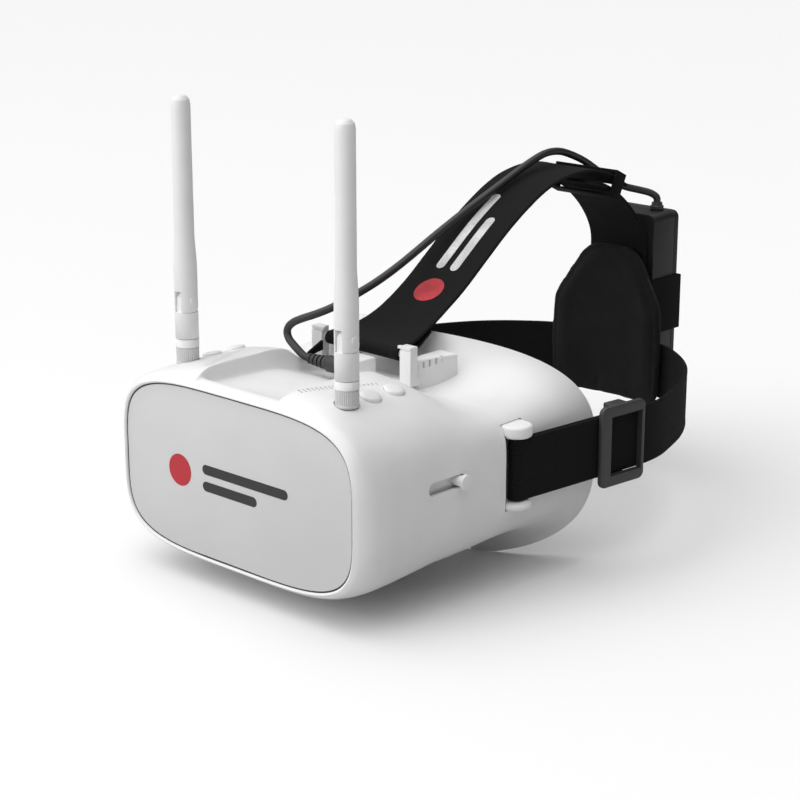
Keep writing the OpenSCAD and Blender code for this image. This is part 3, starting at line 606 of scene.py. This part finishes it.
def vent_tools():
    """The row of short slots on the right-hand hump."""
    tools = []
    for i in range(VENT_N):
        u = i / (VENT_N - 1)
        waves = 1.2 * math.sin(math.radians(300 * u + 20)) + 0.5 * math.cos(math.radians(800 * u))
        length = 2.5 + waves
        x, y = (a + b * u for a, b in zip(VENT_START, VENT_RUN))
        lo, hi = (x - length / 2, y - 0.35, 30), (x + length / 2, y + 0.35, 50)
        tools.append(block(lo, hi, math.radians(-12)))
    return tools


ANT_X, ANT_Y, ANT_D = 49.3, 19.0, 10.3
NUT_Z0, NUT_Z1 = 40.9, 48.4
BUTTON_X, BUTTON_YS, BUTTON_D = 49.2, (33.0, 47.2), 8.9
SLOT_Z, SLOT_Y0, SLOT_Y1, SLOT_HH = 6.4, 37.0, 59.4, 3.0
PLUG_Y, PLUG_Z = 65.5, 39.0


def slot_tool():
    bm = block((70, SLOT_Y0, SLOT_Z - SLOT_HH), (90, SLOT_Y1, SLOT_Z + SLOT_HH))
    ends = [e for e in bm.edges if abs(e.verts[0].co.x - e.verts[1].co.x) > 1]
    bmesh.ops.bevel(bm, geom=ends, offset=SLOT_HH * 0.98, segments=8, profile=0.5, affect="EDGES")
    return bm


def make_housing():
    depths = np.concatenate([np.arange(FRONT_Y, 3, 0.3), np.arange(3, 8, 0.7), np.arange(8, 20, 0.5),
                             np.arange(20, HOUSE_Y, 1.4), [HOUSE_Y]])
    outer = [house_ring(station_at(y)) for y in depths]
    inner_depths = [y for y in depths[::-1] if y > 5.2] + [4.8]
    inner = [house_ring(station_at(y), WALL) for y in inner_depths]
    edge_hw, edge_hh = PANEL_HW + PANEL_GAP, PANEL_HH + PANEL_GAP
    front = [flat_ring(edge_hw - 5, edge_hh - 5, PANEL_N, 4.8),
             flat_ring(edge_hw - 5, edge_hh - 5, PANEL_N, PANEL_T + PANEL_Y),
             flat_ring(edge_hw, edge_hh, PANEL_N, PANEL_T + PANEL_Y),
             flat_ring(edge_hw, edge_hh, PANEL_N, 0.1),
             flat_ring(edge_hw + 0.3, edge_hh + 0.3, PANEL_N, FRONT_Y + 0.25),
             flat_ring(edge_hw + 0.8, edge_hh + 0.7, PANEL_N, FRONT_Y)]
    house = skin("housing_shell", outer + inner + front, closed=True)
    inlet = block((3, 59, 28), (15, 72, 45), 0, 0.8)
    combine(house, [inlet], "UNION")
    one_side = [*vent_tools(), slot_tool(),
                cylinder(ANT_D / 2 + 0.45, 20, (ANT_X, ANT_Y, NUT_Z0 + 9.4))]
    one_side += [cylinder(BUTTON_D / 2 + 0.2, 20, (BUTTON_X, y, 46)) for y in BUTTON_YS]
    card = block((63, 19, -46), (68, 27, -29))
    jack = cylinder(4.05, 10, (7, PLUG_Y, PLUG_Z), "x")
    combine(house, [*map(mirrored, one_side), *one_side, card, jack])
    dress(house, WHITE, replaces=("main_housing",))
    return house


make_housing()
rounded("front_panel", 0.35, PANEL, angle=50)


def make_panel_gap_shade():
    """The dark line round the panel, as painted shade: a thin near-black strip at the bottom of the gap,
    where the gap is only in shadow.
    """
    edge = [(PANEL_HW + PANEL_GAP - 0.02, 0.5), (PANEL_HW - 0.1, 0.5), (PANEL_HW - 0.1, 1.2),
            (PANEL_HW + PANEL_GAP - 0.02, 1.2)]
    rings = [flat_ring(w, w - PANEL_HW + PANEL_HH, PANEL_N, y) for w, y in edge]
    # painted shade: the strip takes the near-black colour of the panel's print
    dress(skin("panel_gap_shade", rings, closed=True), DARK_PRINT_AND_GAP_SHADE)


make_panel_gap_shade()

# ---------------------------------------------------------------- face cup
CUP_HW, CUP_TOP, CUP_LOW = 79.0, 50.0, 54.0
ARM_Y1, ARM_Z0, ARM_Z1 = 98.2, -14.2, 23.6


def rim_ring(t):
    b = np.where(TOP, CUP_TOP, CUP_LOW) - t
    rho = np.where(TOP, squircle(COS, SIN, 2.8), squircle(COS, SIN, 3.2))
    x = (CUP_HW - t) * COS * rho
    z = b * SIN * rho
    nose = 36 * (1 - smooth_step((np.abs(x) - 8) / 30))
    z = np.where(TOP, z, soft_min(z + nose, np.zeros_like(z), 4))
    return np.stack([x, 107 + 41 * (np.abs(x) / 80)**2, z], 1)


def cup_ring(u, t=0.0, shift=0.0):
    p, r = house_ring(STATIONS[-1], t), rim_ring(t)
    q = p + (r - p) * np.array((0.3, 0.92, 0.04))
    ring = (1 - u)**2 * p + 2 * u * (1 - u) * q + u * u * r
    ring[:, 1] += shift
    return ring


def make_cup():
    us = np.linspace(0, 1, 44)
    outer = [cup_ring(u, 0, 0.02 * (1 - u)) for u in us]
    lip = [cup_ring(1, 0.3, 0.3), cup_ring(1, WALL - 0.5, 0.3), cup_ring(0.93, WALL + 2)]
    cup = skin("face_cup_shell", outer + lip)
    ledge = prism([(23, 84.2), (28.4, 84.2), (34.2, 104.5), (23, 104.5)], 27, 43.6, 0.9)
    combine(cup, [ledge, mirrored(ledge)], "UNION")
    hollow = [cup_ring(u, WALL, 4 * (1 - u)) for u in us] + [cup_ring(1, WALL, 8)]
    cut_with(cup, skin("hollow", hollow))
    cut_with(cup, skin("window", [flat_ring(52, 26, 4, y) for y in (HOUSE_Y - 1, HOUSE_Y + 12)]))
    pocket = block((71, 80, ARM_Z0 - 0.3), (95, ARM_Y1 + 0.3, ARM_Z1 + 0.3))
    slits = [block((27.6 + 0.86 * i, 86.6 + 3.1 * i, 39.4 + 0.5 * i),
                   (35.6 + 0.86 * i, 87.7 + 3.1 * i, 42.2 + 0.5 * i)) for i in range(4)]
    combine(cup, [pocket, *slits, *map(mirrored, [pocket, *slits])])
    dress(cup, WHITE, replaces=("face_cup",))


make_cup()


def make_foam():
    """A foam ring inside the cup's mouth, crowned towards the face."""
    rings = []
    for a in np.linspace(0, 2 * np.pi, 28, endpoint=False):
        u = 0.80 + 0.17 * math.cos(a)
        depth = WALL + 0.5 + 3.6 * (1 - math.sin(a) * 0.98)
        rings.append(cup_ring(u, depth))
    foam = skin("foam_ring", rings, closed=True)
    dress(foam, FOAM, replaces=("face_foam",), sharp=80)


make_foam()

# ---------------------------------------------------------------- small white pieces
for side, _ in SIDES:
    rounded(f"side_arm_{side}", 1.3, WHITE, segments=4)
rounded("strap_bracket", 0.9, WHITE, segments=3)
rounded("focus_knobs", 0.3, KNOB, "focus_carriage", segments=3)


def slant(obj, x0, slope, above):
    """Tilts the part of a shape that is above a height, so that it follows the hump."""
    for v in obj.data.vertices:
        p = (v.co - Vector(HOME)) / MM
        if p.z > above:
            v.co.z += slope * (p.x - x0) * MM


def make_buttons():
    for side, sign in SIDES:
        for kind, y in zip(("menu", "channel"), BUTTON_YS):
            top, r = 43.1, BUTTON_D / 2
            profile = [(0.01, 37.2), (r, 37.2), (r, top - 1.0), (r - 0.12, top - 0.55),
                       (r - 0.5, top - 0.2), (r - 1.2, top - 0.05), (r * 0.5, top + 0.05), (0.01, top + 0.1)]
            node = f"{kind}_button_{side}"
            cap = lathe(node + "_cap", profile, (sign * BUTTON_X, y, 0))
            slant(cap, sign * BUTTON_X, -0.24 * sign, 40)
            dress(cap, KNOB, node, (node,))


make_buttons()

# ---------------------------------------------------------------- antennas
HINGE_Z = 69.6


def knurl(angle, height):
    inside = NUT_Z0 + 1.3 < height < NUT_Z1 - 0.6
    return 0.16 * math.cos(36 * angle) - 0.16 if inside else 0.0


def make_antennas():
    for side, sign in SIDES:
        x = sign * ANT_X
        r = ANT_D / 2
        nut = [(3.7, NUT_Z0), (r - 0.2, NUT_Z0), (r, NUT_Z0 + 0.3), (r, NUT_Z0 + 1.2),
               (r - 0.1, NUT_Z0 + 1.4),
               (r - 0.1, NUT_Z0 + 1.6), (r - 0.1, NUT_Z1 - 0.9), (r - 0.1, NUT_Z1 - 0.7),
               (r - 0.15, NUT_Z1 - 0.3), (r - 0.4, NUT_Z1), (3.7, NUT_Z1)]
        collar = lathe(f"nut_{side}", nut, (x, ANT_Y, 0), steps=288, wobble=knurl)
        dress(collar, NUT, replaces=(f"antenna_nut_{side}",), sharp=60)
        base = rounded(f"antenna_base_{side}", 0.2, ANTENNA, f"antenna_base_{side}")
        ring = lathe("ring", [(r - 0.3, 52.3), (r + 1, 52.3), (r + 1, 52.6), (r - 0.3, 52.6)], (x, ANT_Y, 0))
        cut_with(base, ring, "EXACT")
        base.data.set_sharp_from_angle(angle=math.radians(35))
        rounded(f"antenna_whip_{side}", 0.2, ANTENNA, f"antenna_whip_{side}")
        for end in (-1, 1):
            profile = [(0.01, 4.6), (1.9, 4.6), (1.9, 5.1), (1.6, 5.3), (0.8, 5.38), (0.01, 5.4)]
            pin = lathe(f"hinge_pin_{side}_{'a' if end < 0 else 'b'}", [(q, end * h) for q, h in profile],
                        (x, ANT_Y, HINGE_Z), "x", 40)
            dress(pin, ANTENNA, f"antenna_whip_{side}")


make_antennas()

# ---------------------------------------------------------------- straps
STRAP_T, STRAP_H, STRAP_Z = 1.5, 28.0, 3.6
BAR_X, BAR_Y, BAR_R = 79.6, 91.0, 1.6
STRAP_X1, STRAP_Y1 = 90.4, 166.0
STRAP_DX = STRAP_X1 - BAR_X - BAR_R - 0.3 - STRAP_T
TOP_HW = 17.7
BUCKLE_Y = 151.0                   # middle of the buckles at rest


def strap_x(y):
    """Outer face of the straight stretch of side webbing."""
    return STRAP_X1 - STRAP_DX * (STRAP_Y1 - y) / (STRAP_Y1 - BAR_Y)


def band_section(half, t):
    """Cross-section of webbing: rounded edges and a faintly thicker selvedge."""
    r = t / 2
    across = np.concatenate([-half + r * (1 - np.cos(np.linspace(0, np.pi / 2, 5))),
                             [-half + 2.2, -half + 3.2], np.linspace(-half + 5, half - 5, 9),
                             [half - 3.2, half - 2.2],
                             half - r * (1 - np.cos(np.linspace(np.pi / 2, 0, 5)))])
    edge = half - np.abs(across)
    height = np.where(edge < r, np.sqrt(np.maximum(r * r - (r - edge)**2, 0)), r)
    height = np.maximum(height, 0.02) - 0.1 * smooth_step((edge - 2.2) / 1.0)
    top = np.stack([across, height], 1)
    return np.concatenate([top, (top * (1, -1))[::-1]])


def band(name, centre, across, half, t=STRAP_T):
    """Webbing along a centre line in one plane. across is its width direction."""
    centre = np.asarray(centre, float)
    tangent = np.gradient(centre, axis=0)
    tangent /= np.linalg.norm(tangent, axis=1)[:, None]
    normal = np.cross(tangent, across)
    halves = np.full(len(centre), half) if np.isscalar(half) else np.asarray(half, float)
    rings, lengths = [], np.concatenate([[0], np.cumsum(np.linalg.norm(np.diff(centre, axis=0), axis=1))])
    for c, n, h in zip(centre, normal, halves):
        section = band_section(h, t)
        rings.append(c + section[:, :1] * np.asarray(across, float) + section[:, 1:] * n)
    obj = skin(name, rings)
    flat = np.array([(s, w) for s, h in zip(lengths, halves) for w in band_section(h, t)[:, 0]]) * MM
    layer = obj.data.uv_layers.new(name="strap")
    index = np.zeros(len(obj.data.loops), int)
    obj.data.loops.foreach_get("vertex_index", index)
    layer.data.foreach_set("uv", flat[index].astype(np.float32).ravel())
    return obj


def arc(cx, cy, r, a0, a1, k):
    a = np.radians(np.linspace(a0, a1, k))
    return np.stack([cx + r * np.cos(a), cy + r * np.sin(a)], 1)


def offset(path, d):
    """A plane path moved sideways, to its left."""
    t = np.gradient(path, axis=0)
    t /= np.linalg.norm(t, axis=1)[:, None]
    return path + d * np.stack([-t[:, 1], t[:, 0]], 1)


def side_strap_line():
    """Centre line of the side webbing: inner layer, fold round the bar, outer layer, rear curve."""
    r = BAR_R + 0.3 + STRAP_T / 2
    inner_end = [(strap_x(y) - 1.9 - STRAP_T / 2, y) for y in np.linspace(168, 99, 24)]
    inner = inner_end + [(BAR_X - r, BAR_Y + 1.5)]
    fold = arc(BAR_X, BAR_Y, r, 180, 360, 15)
    straight = [(strap_x(y) - STRAP_T / 2, y) for y in np.linspace(BAR_Y + 2, 163, 24)]
    rear = offset(spline([(STRAP_X1, 166), (90.4, 174), (89, 184), (85.6, 195), (79.4, 212), (70.8, 228),
                          (61.4, 240), (50.4, 250), (38, 258.35), (26, 261.98), (12, 264.6)], 5),
                  STRAP_T / 2)
    return np.array([*inner, *fold, *straight, *rear])


def make_side_straps():
    line = side_strap_line()
    for side, sign in SIDES:
        centre = np.stack([line[:, 0] * sign, line[:, 1], np.full(len(line), STRAP_Z)], 1)
        strap = band(f"side_webbing_{side}", centre, (0, 0, 1), STRAP_H / 2)
        dress(strap, WEBBING, replaces=(f"side_strap_{side}",), sharp=60)


FRONT_CURVE = [(80, 49.1), (90, 49.8), (98, 51.8), (107, 55.4), (118, 61.4), (128, 67.8), (140, 76.8),
               (152, 85.8), (161, 92), (171, 98), (181, 103.2), (192, 107.2), (205, 109.4),
               (218, 109.4), (231, 106.6), (242, 101.6), (247, 98.6)]
REAR_CURVE = [(214, 104.8), (225, 102.6), (233, 99.6), (241, 95), (249, 89), (256, 82.2), (261.6, 74.5),
              (264.6, 67), (265.1, 58), (265.1, 40), (265.1, 20)]
FOLD_Y, FOLD_Z = 79.9, 46.0


def top_half_width(y):
    return np.interp(y, [0, 84, 90, 100, 108, 116, 300], [22.4, 22.4, 20.9, 19, 18.1, TOP_HW, TOP_HW])


def make_top_strap():
    r = 1.6 + STRAP_T / 2
    under = spline([(104, 51.0), (97, 47.4), (88, 44.3), (80.4, FOLD_Z - r)], 5)[:-1]
    fold = arc(FOLD_Y, FOLD_Z, r, 270, 90, 15)
    over = offset(spline(FRONT_CURVE, 6), -STRAP_T / 2)[1:]
    line = np.concatenate([under, fold, over])
    centre = np.stack([np.zeros(len(line)), line[:, 0], line[:, 1]], 1)
    front = band("top_webbing_front", centre, (1, 0, 0), top_half_width(line[:, 0]))
    dress(front, WEBBING, replaces=("top_strap_front",), sharp=60)
    line = offset(spline(REAR_CURVE, 5), -STRAP_T / 2)
    centre = np.stack([np.zeros(len(line)), line[:, 0], line[:, 1]], 1)
    rear = band("top_webbing_rear", centre, (1, 0, 0), TOP_HW - 0.4)
    dress(rear, WEBBING, replaces=("top_strap_rear",), sharp=60)


make_side_straps()
make_top_strap()
rounded("cable_keeper", 0.3, ELASTIC, segments=2)
rounded("cable_tab", 0.3, ELASTIC)


def make_buckles():
    """Slider buckles: a frame with rounded corners, side rails and an inner cross bar."""
    lean = math.atan2(STRAP_DX, STRAP_Y1 - BAR_Y)
    half_l, half_h, rail = 14.0, 18.75, STRAP_H / 2 + 0.35
    for side, sign in SIDES:
        outer = block((0.35, -half_l, -half_h), (3.2, half_l, half_h))
        corner = [e for e in outer.edges if abs(e.verts[0].co.x - e.verts[1].co.x) > 1]
        bmesh.ops.bevel(outer, geom=corner, offset=3.2, segments=5, profile=0.5, affect="EDGES")
        bmesh.ops.bevel(outer, geom=[e for e in outer.edges if e.calc_face_angle(0) > 0.9], offset=0.9,
                        segments=3, profile=0.5, affect="EDGES")
        window = block((-1, -half_l + 6, -rail + 0.6), (5, half_l - 2.2, rail - 0.6))
        rails = [block((-5.6, -5, z0), (1.6, 5, z1), 0, 0.7)
                 for z0, z1 in ((rail, half_h - 0.5), (-half_h + 0.5, -rail))]
        bar = block((-5.6, -2.2, -rail - 1), (-3.75, 2.2, rail + 1), 0, 0.5)
        turn = Matrix.Rotation(-lean, 4, "Z")
        place = Matrix.Translation(Vector((strap_x(BUCKLE_Y), BUCKLE_Y, STRAP_Z))) @ turn
        for shape in (outer, window, bar, *rails):
            shape.transform(place)
        frame_piece = from_bmesh("frame", outer)
        combine(frame_piece, [window])
        combine(frame_piece, rails, "UNION")
        combine(frame_piece, [bar], "UNION")
        if sign < 0:
            frame_piece.data.transform(Matrix.Diagonal((-1, 1, 1, 1)))
            outward(frame_piece)
        frame_piece.name = f"buckle_{side}"
        dress(frame_piece, BUCKLE, f"strap_buckle_{side}", (f"strap_buckle_{side}",))


make_buckles()

# ---------------------------------------------------------------- rear pad
PAD_CY, PAD_R, PAD_T = 158.0, 100.0, 5.4
# The right-hand half of the pad's outline, from the top down: across, up
PAD_OUTLINE = [(9, 65), (14.7, 63.2), (19.2, 59.4), (31.8, 39.6), (34.7, 33), (34.7, -8), (32, -14),
               (27, -16.5)]


def pad_shape():
    """The pad as a curved slab, slightly smaller than its solid, ready to be puffed up."""
    right = [np.array(p, float) for p in PAD_OUTLINE]
    left = [p * (-1, 1) for p in reversed(right)]
    outline = cut_corners([*right, *left, right[0]], 2)[:-1]
    outline = np.array(outline)
    middle = np.array((0, 24.0))
    rings = []
    flat = (0.03, 0.15, 0.3, 0.45, 0.6, 0.75, 0.87)
    levels = [(k, 0) for k in flat] + [(0.94, 0.2), (0.975, 0.9), (0.975, PAD_T - 2.2), (0.94, PAD_T - 1.5)]
    for k, y in levels + [(k, PAD_T - 1.3) for k in flat[::-1]]:
        p = middle + (outline - middle) * k
        r = PAD_R + 0.5 + y
        rings.append(np.stack([p[:, 0], PAD_CY + np.sqrt(r * r - p[:, 0]**2), p[:, 1]], 1))
    return skin("rear_pad_cover", rings)


def puff(obj, voxel, pressure, cap):
    """Fills a closed cloth shape like a cushion, moving no point further than cap."""
    remesh = obj.modifiers.new("remesh", "REMESH")
    remesh.mode = "VOXEL"
    remesh.voxel_size = voxel * MM
    apply_modifiers(obj)
    rest = np.array([v.co for v in obj.data.vertices])
    cloth = obj.modifiers.new("cloth", "CLOTH")
    cloth.settings.use_pressure = True
    cloth.settings.uniform_pressure_force = pressure
    cloth.settings.effector_weights.gravity = 0
    cloth.settings.mass = 0.2
    scene = bpy.context.scene
    for f in range(1, 21):
        scene.frame_set(f)
    graph = bpy.context.evaluated_depsgraph_get()
    done = np.array([v.co for v in obj.evaluated_get(graph).data.vertices])
    obj.modifiers.clear()
    scene.frame_set(1)
    move = done - rest
    far = np.linalg.norm(move, axis=1, keepdims=True)
    move *= np.minimum(1, cap * MM / np.maximum(far, 1e-9))
    obj.data.vertices.foreach_set("co", (rest + move).astype(np.float32).ravel())
    obj.data.update()


def sew(obj):
    """Presses a stitched channel into the pad, a little way in from its edge, on both faces."""
    outline = np.array(cut_corners([np.array(p, float) for p in PAD_OUTLINE], 2))
    co = np.array([v.co for v in obj.data.vertices])
    p = (co - HOME) / MM
    flat = np.stack([np.abs(p[:, 0]), p[:, 2]], 1)
    best = np.full(len(flat), 1e9)
    for a, b in zip(outline[:-1], outline[1:]):
        ab = b - a
        t = np.clip(((flat - a) @ ab) / (ab @ ab), 0, 1)
        best = np.minimum(best, np.linalg.norm(flat - a - t[:, None] * ab, axis=1))
    radial = np.hypot(p[:, 0], p[:, 1] - PAD_CY)
    middle = PAD_R + PAD_T / 2
    push = 0.45 * np.exp(-((best - 4.0) / 0.8)**2)
    toward = np.where(radial > middle, -1, 1) * push
    unit = np.stack([p[:, 0], p[:, 1] - PAD_CY], 1) / radial[:, None]
    co[:, :2] += unit * toward[:, None] * MM
    obj.data.vertices.foreach_set("co", co.astype(np.float32).ravel())
    obj.data.update()


def subdivided(obj, levels=1):
    mod = obj.modifiers.new("subdivide", "SUBSURF")
    mod.levels = mod.render_levels = levels
    apply_modifiers(obj)


def make_pad():
    pad = pad_shape()
    puff(pad, 1.3, 4.0, 1.2)
    sew(pad)
    subdivided(pad)
    dress(pad, PAD, replaces=("rear_pad",), sharp=80)


make_pad()

# ---------------------------------------------------------------- battery
rounded("battery_case", 1.2, BATTERY, segments=3, angle=50)
rounded("battery_cover", 1.0, BATTERY, segments=3, angle=50)
rounded("battery_band", 0.4, ELASTIC)
rounded("cable_gland", 0.3, JACKET)

# ---------------------------------------------------------------- inside
INSIDE = {
    "lcd_panel": (SCREEN, "screen_glass"), "lcd_bezel": (BLACK, "black_plastic"),
    "main_board": (BOARD, "circuit_board"), "receiver_module": (STEEL, "shield_can"),
    "button_boards": (BOARD, "circuit_board"), "eye_tunnel": (BLACK, "black_plastic"),
    "guide_rails": (STEEL, "steel"), "sma_jacks": (GOLD, "gold_plate"),
    "dc_jack": (BLACK, "black_plastic"), "card_socket": (BLACK, "black_plastic"),
    "battery_cells": (WRAP, "cell_wrap"), "battery_contacts": (STEEL, "steel"),
    "bezel_screws": (STEEL, "steel"),
    "lens_carriage": (BLACK, "black_plastic"),
    "lens": (LENS, "clear_lens")}
for node, (material, slot) in INSIDE.items():
    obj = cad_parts[node]
    obj.data.materials.clear()
    obj.data.materials.append(material)


# ---------------------------------------------------------------- printed marks
def decal(name, outline, surface, material, body=ROOT, lift=0.12):
    """A thin printed patch. outline is in (across, up) millimetres, and surface places it."""
    pts = [surface(u, v, lift) for u, v in outline] + [surface(u, v, 0.0) for u, v in outline]
    n = len(outline)
    faces = [tuple(range(n)), tuple(reversed(range(n, 2 * n)))]
    faces += [(i, (i + 1) % n, n + (i + 1) % n, n + i) for i in range(n)]
    obj = mesh_object(name, pts, faces)
    outward(obj)
    return dress(obj, material, body)


def on_panel(u, v, lift):
    return (u, PANEL_Y - lift, v)


def capsule(u0, u1, v0, v1, steps=12):
    """Outline of a bar with round ends. A bar as long as it is tall is a disc."""
    r = (v1 - v0) / 2
    turn = np.linspace(-np.pi / 2, np.pi / 2, steps)
    right = [(u1 - r + r * math.cos(a), (v0 + v1) / 2 + r * math.sin(a)) for a in turn]
    left = [(u0 + r - r * math.cos(a), (v0 + v1) / 2 - r * math.sin(a)) for a in turn]
    return right + left


def make_panel_mark():
    """A generic mark in place of the maker's: one disc and two plain bars."""
    decal("panel_mark_disc", capsule(-42, -27.6, -8.2, 6.2, 24), on_panel, MARK_RED)
    decal("panel_mark_bar_a", capsule(-20, 33, 0.6, 5.0), on_panel, DARK_PRINT_AND_GAP_SHADE)
    decal("panel_mark_bar_b", capsule(-20, 14, -7.0, -2.6), on_panel, DARK_PRINT_AND_GAP_SHADE)


def strap_print(name, start, end, middle, half, material):
    """A printed bar with round ends along the top strap. start and end are lengths along it."""
    curve = spline(FRONT_CURVE, 12)
    run = np.concatenate([[0], np.cumsum(np.linalg.norm(np.diff(curve, axis=0), axis=1))])
    near = (1 - np.cos(np.linspace(0.15, np.pi / 2, 9))) * half
    straight = np.linspace(start + half, end - half, 8)[1:-1]
    places = np.concatenate([start + near, straight, end - near[::-1]])
    rings = []
    for s in places:
        inset = max(half - (s - start), half - (end - s), 0.0)
        w = math.sqrt(half * half - inset * inset)
        y, z = np.interp(s, run, curve[:, 0]), np.interp(s, run, curve[:, 1])
        rings.append([(middle + u, y - 0.5 * h, z + 0.8 * h)
                      for u, h in ((-w, 0.05), (w, 0.05), (w, -0.3), (-w, -0.3))])
    dress(skin(name, rings), material)


def make_strap_mark():
    """The same generic mark on the top strap: one disc and two plain bars."""
    strap_print("strap_mark_disc", 38.0, 53.0, 0.0, 7.5, PRINT_RED)
    strap_print("strap_mark_bar_a", 59.0, 110.0, -4.2, 2.4, PRINT_WHITE)
    strap_print("strap_mark_bar_b", 59.0, 94.0, 4.2, 2.4, PRINT_WHITE)


make_panel_mark()
make_strap_mark()


# ---------------------------------------------------------------- studio
SKY_FROM = (-0.22, -0.27, 0.94)    # the direction that most of the light comes from
SKY_STRENGTH, SKY_LEAST = 2.1, 0.03
FLOOR_SEEN, FLOOR_LIT = 0.92, 0.58   # the floor as the camera sees it, and as it lights the object


def area_light(name, size, energy, location, target):
    data = bpy.data.lights.new(name, "AREA")
    data.shape = "RECTANGLE"
    data.size, data.size_y = size
    data.energy = energy
    lamp = bpy.data.objects.new(name, data)
    bpy.context.scene.collection.objects.link(lamp)
    lamp.location = location
    lamp.rotation_mode = "QUATERNION"
    lamp.rotation_quaternion = (Vector(target) - Vector(location)).to_track_quat("-Z", "Y")


def floor_material():
    """White paper, which lights the object's sides less than it shows."""
    m, tree, bsdf = node_material("floor_white")
    seen = tree.nodes.new("ShaderNodeLightPath").outputs["Is Camera Ray"]
    tree.links.new(ramp(tree, seen, grey(FLOOR_LIT), grey(FLOOR_SEEN), 0.0, 1.0), bsdf.inputs["Base Color"])
    bsdf.inputs["Roughness"].default_value = 0.9
    bsdf.inputs["Specular IOR Level"].default_value = 0.1
    return m


def make_studio():
    scene = bpy.context.scene
    scene.view_settings.view_transform = "Standard"
    scene.view_settings.look = "None"
    world = bpy.data.worlds.new("studio")
    world.use_nodes = True
    tree = world.node_tree
    facing = tree.nodes.new("ShaderNodeVectorMath")
    facing.operation = "DOT_PRODUCT"
    facing.inputs[1].default_value = SKY_FROM
    tree.links.new(tree.nodes.new("ShaderNodeTexCoord").outputs["Generated"], facing.inputs[0])
    height = math_node(tree, "MAXIMUM", facing.outputs["Value"], 0.0)
    glow = math_node(tree, "MULTIPLY", math_node(tree, "POWER", height, 2.0), SKY_STRENGTH)
    sky = math_node(tree, "ADD", glow, SKY_LEAST)
    tree.nodes["Background"].inputs["Color"].default_value = (1, 1, 1, 1)
    tree.links.new(sky, tree.nodes["Background"].inputs["Strength"])
    scene.world = world
    bm = bmesh.new()
    bmesh.ops.create_grid(bm, x_segments=1, y_segments=1, size=8)
    mesh = bpy.data.meshes.new("floor")
    bm.to_mesh(mesh)
    bm.free()
    floor = new_object("floor", mesh)
    floor.location = (0, 0, cad_lo.z)
    mesh.materials.append(floor_material())
    area_light("front", (1.0, 0.8), 8.0, (-0.7, -1.8, 0.7), (0, 0, 0.05))


make_studio()
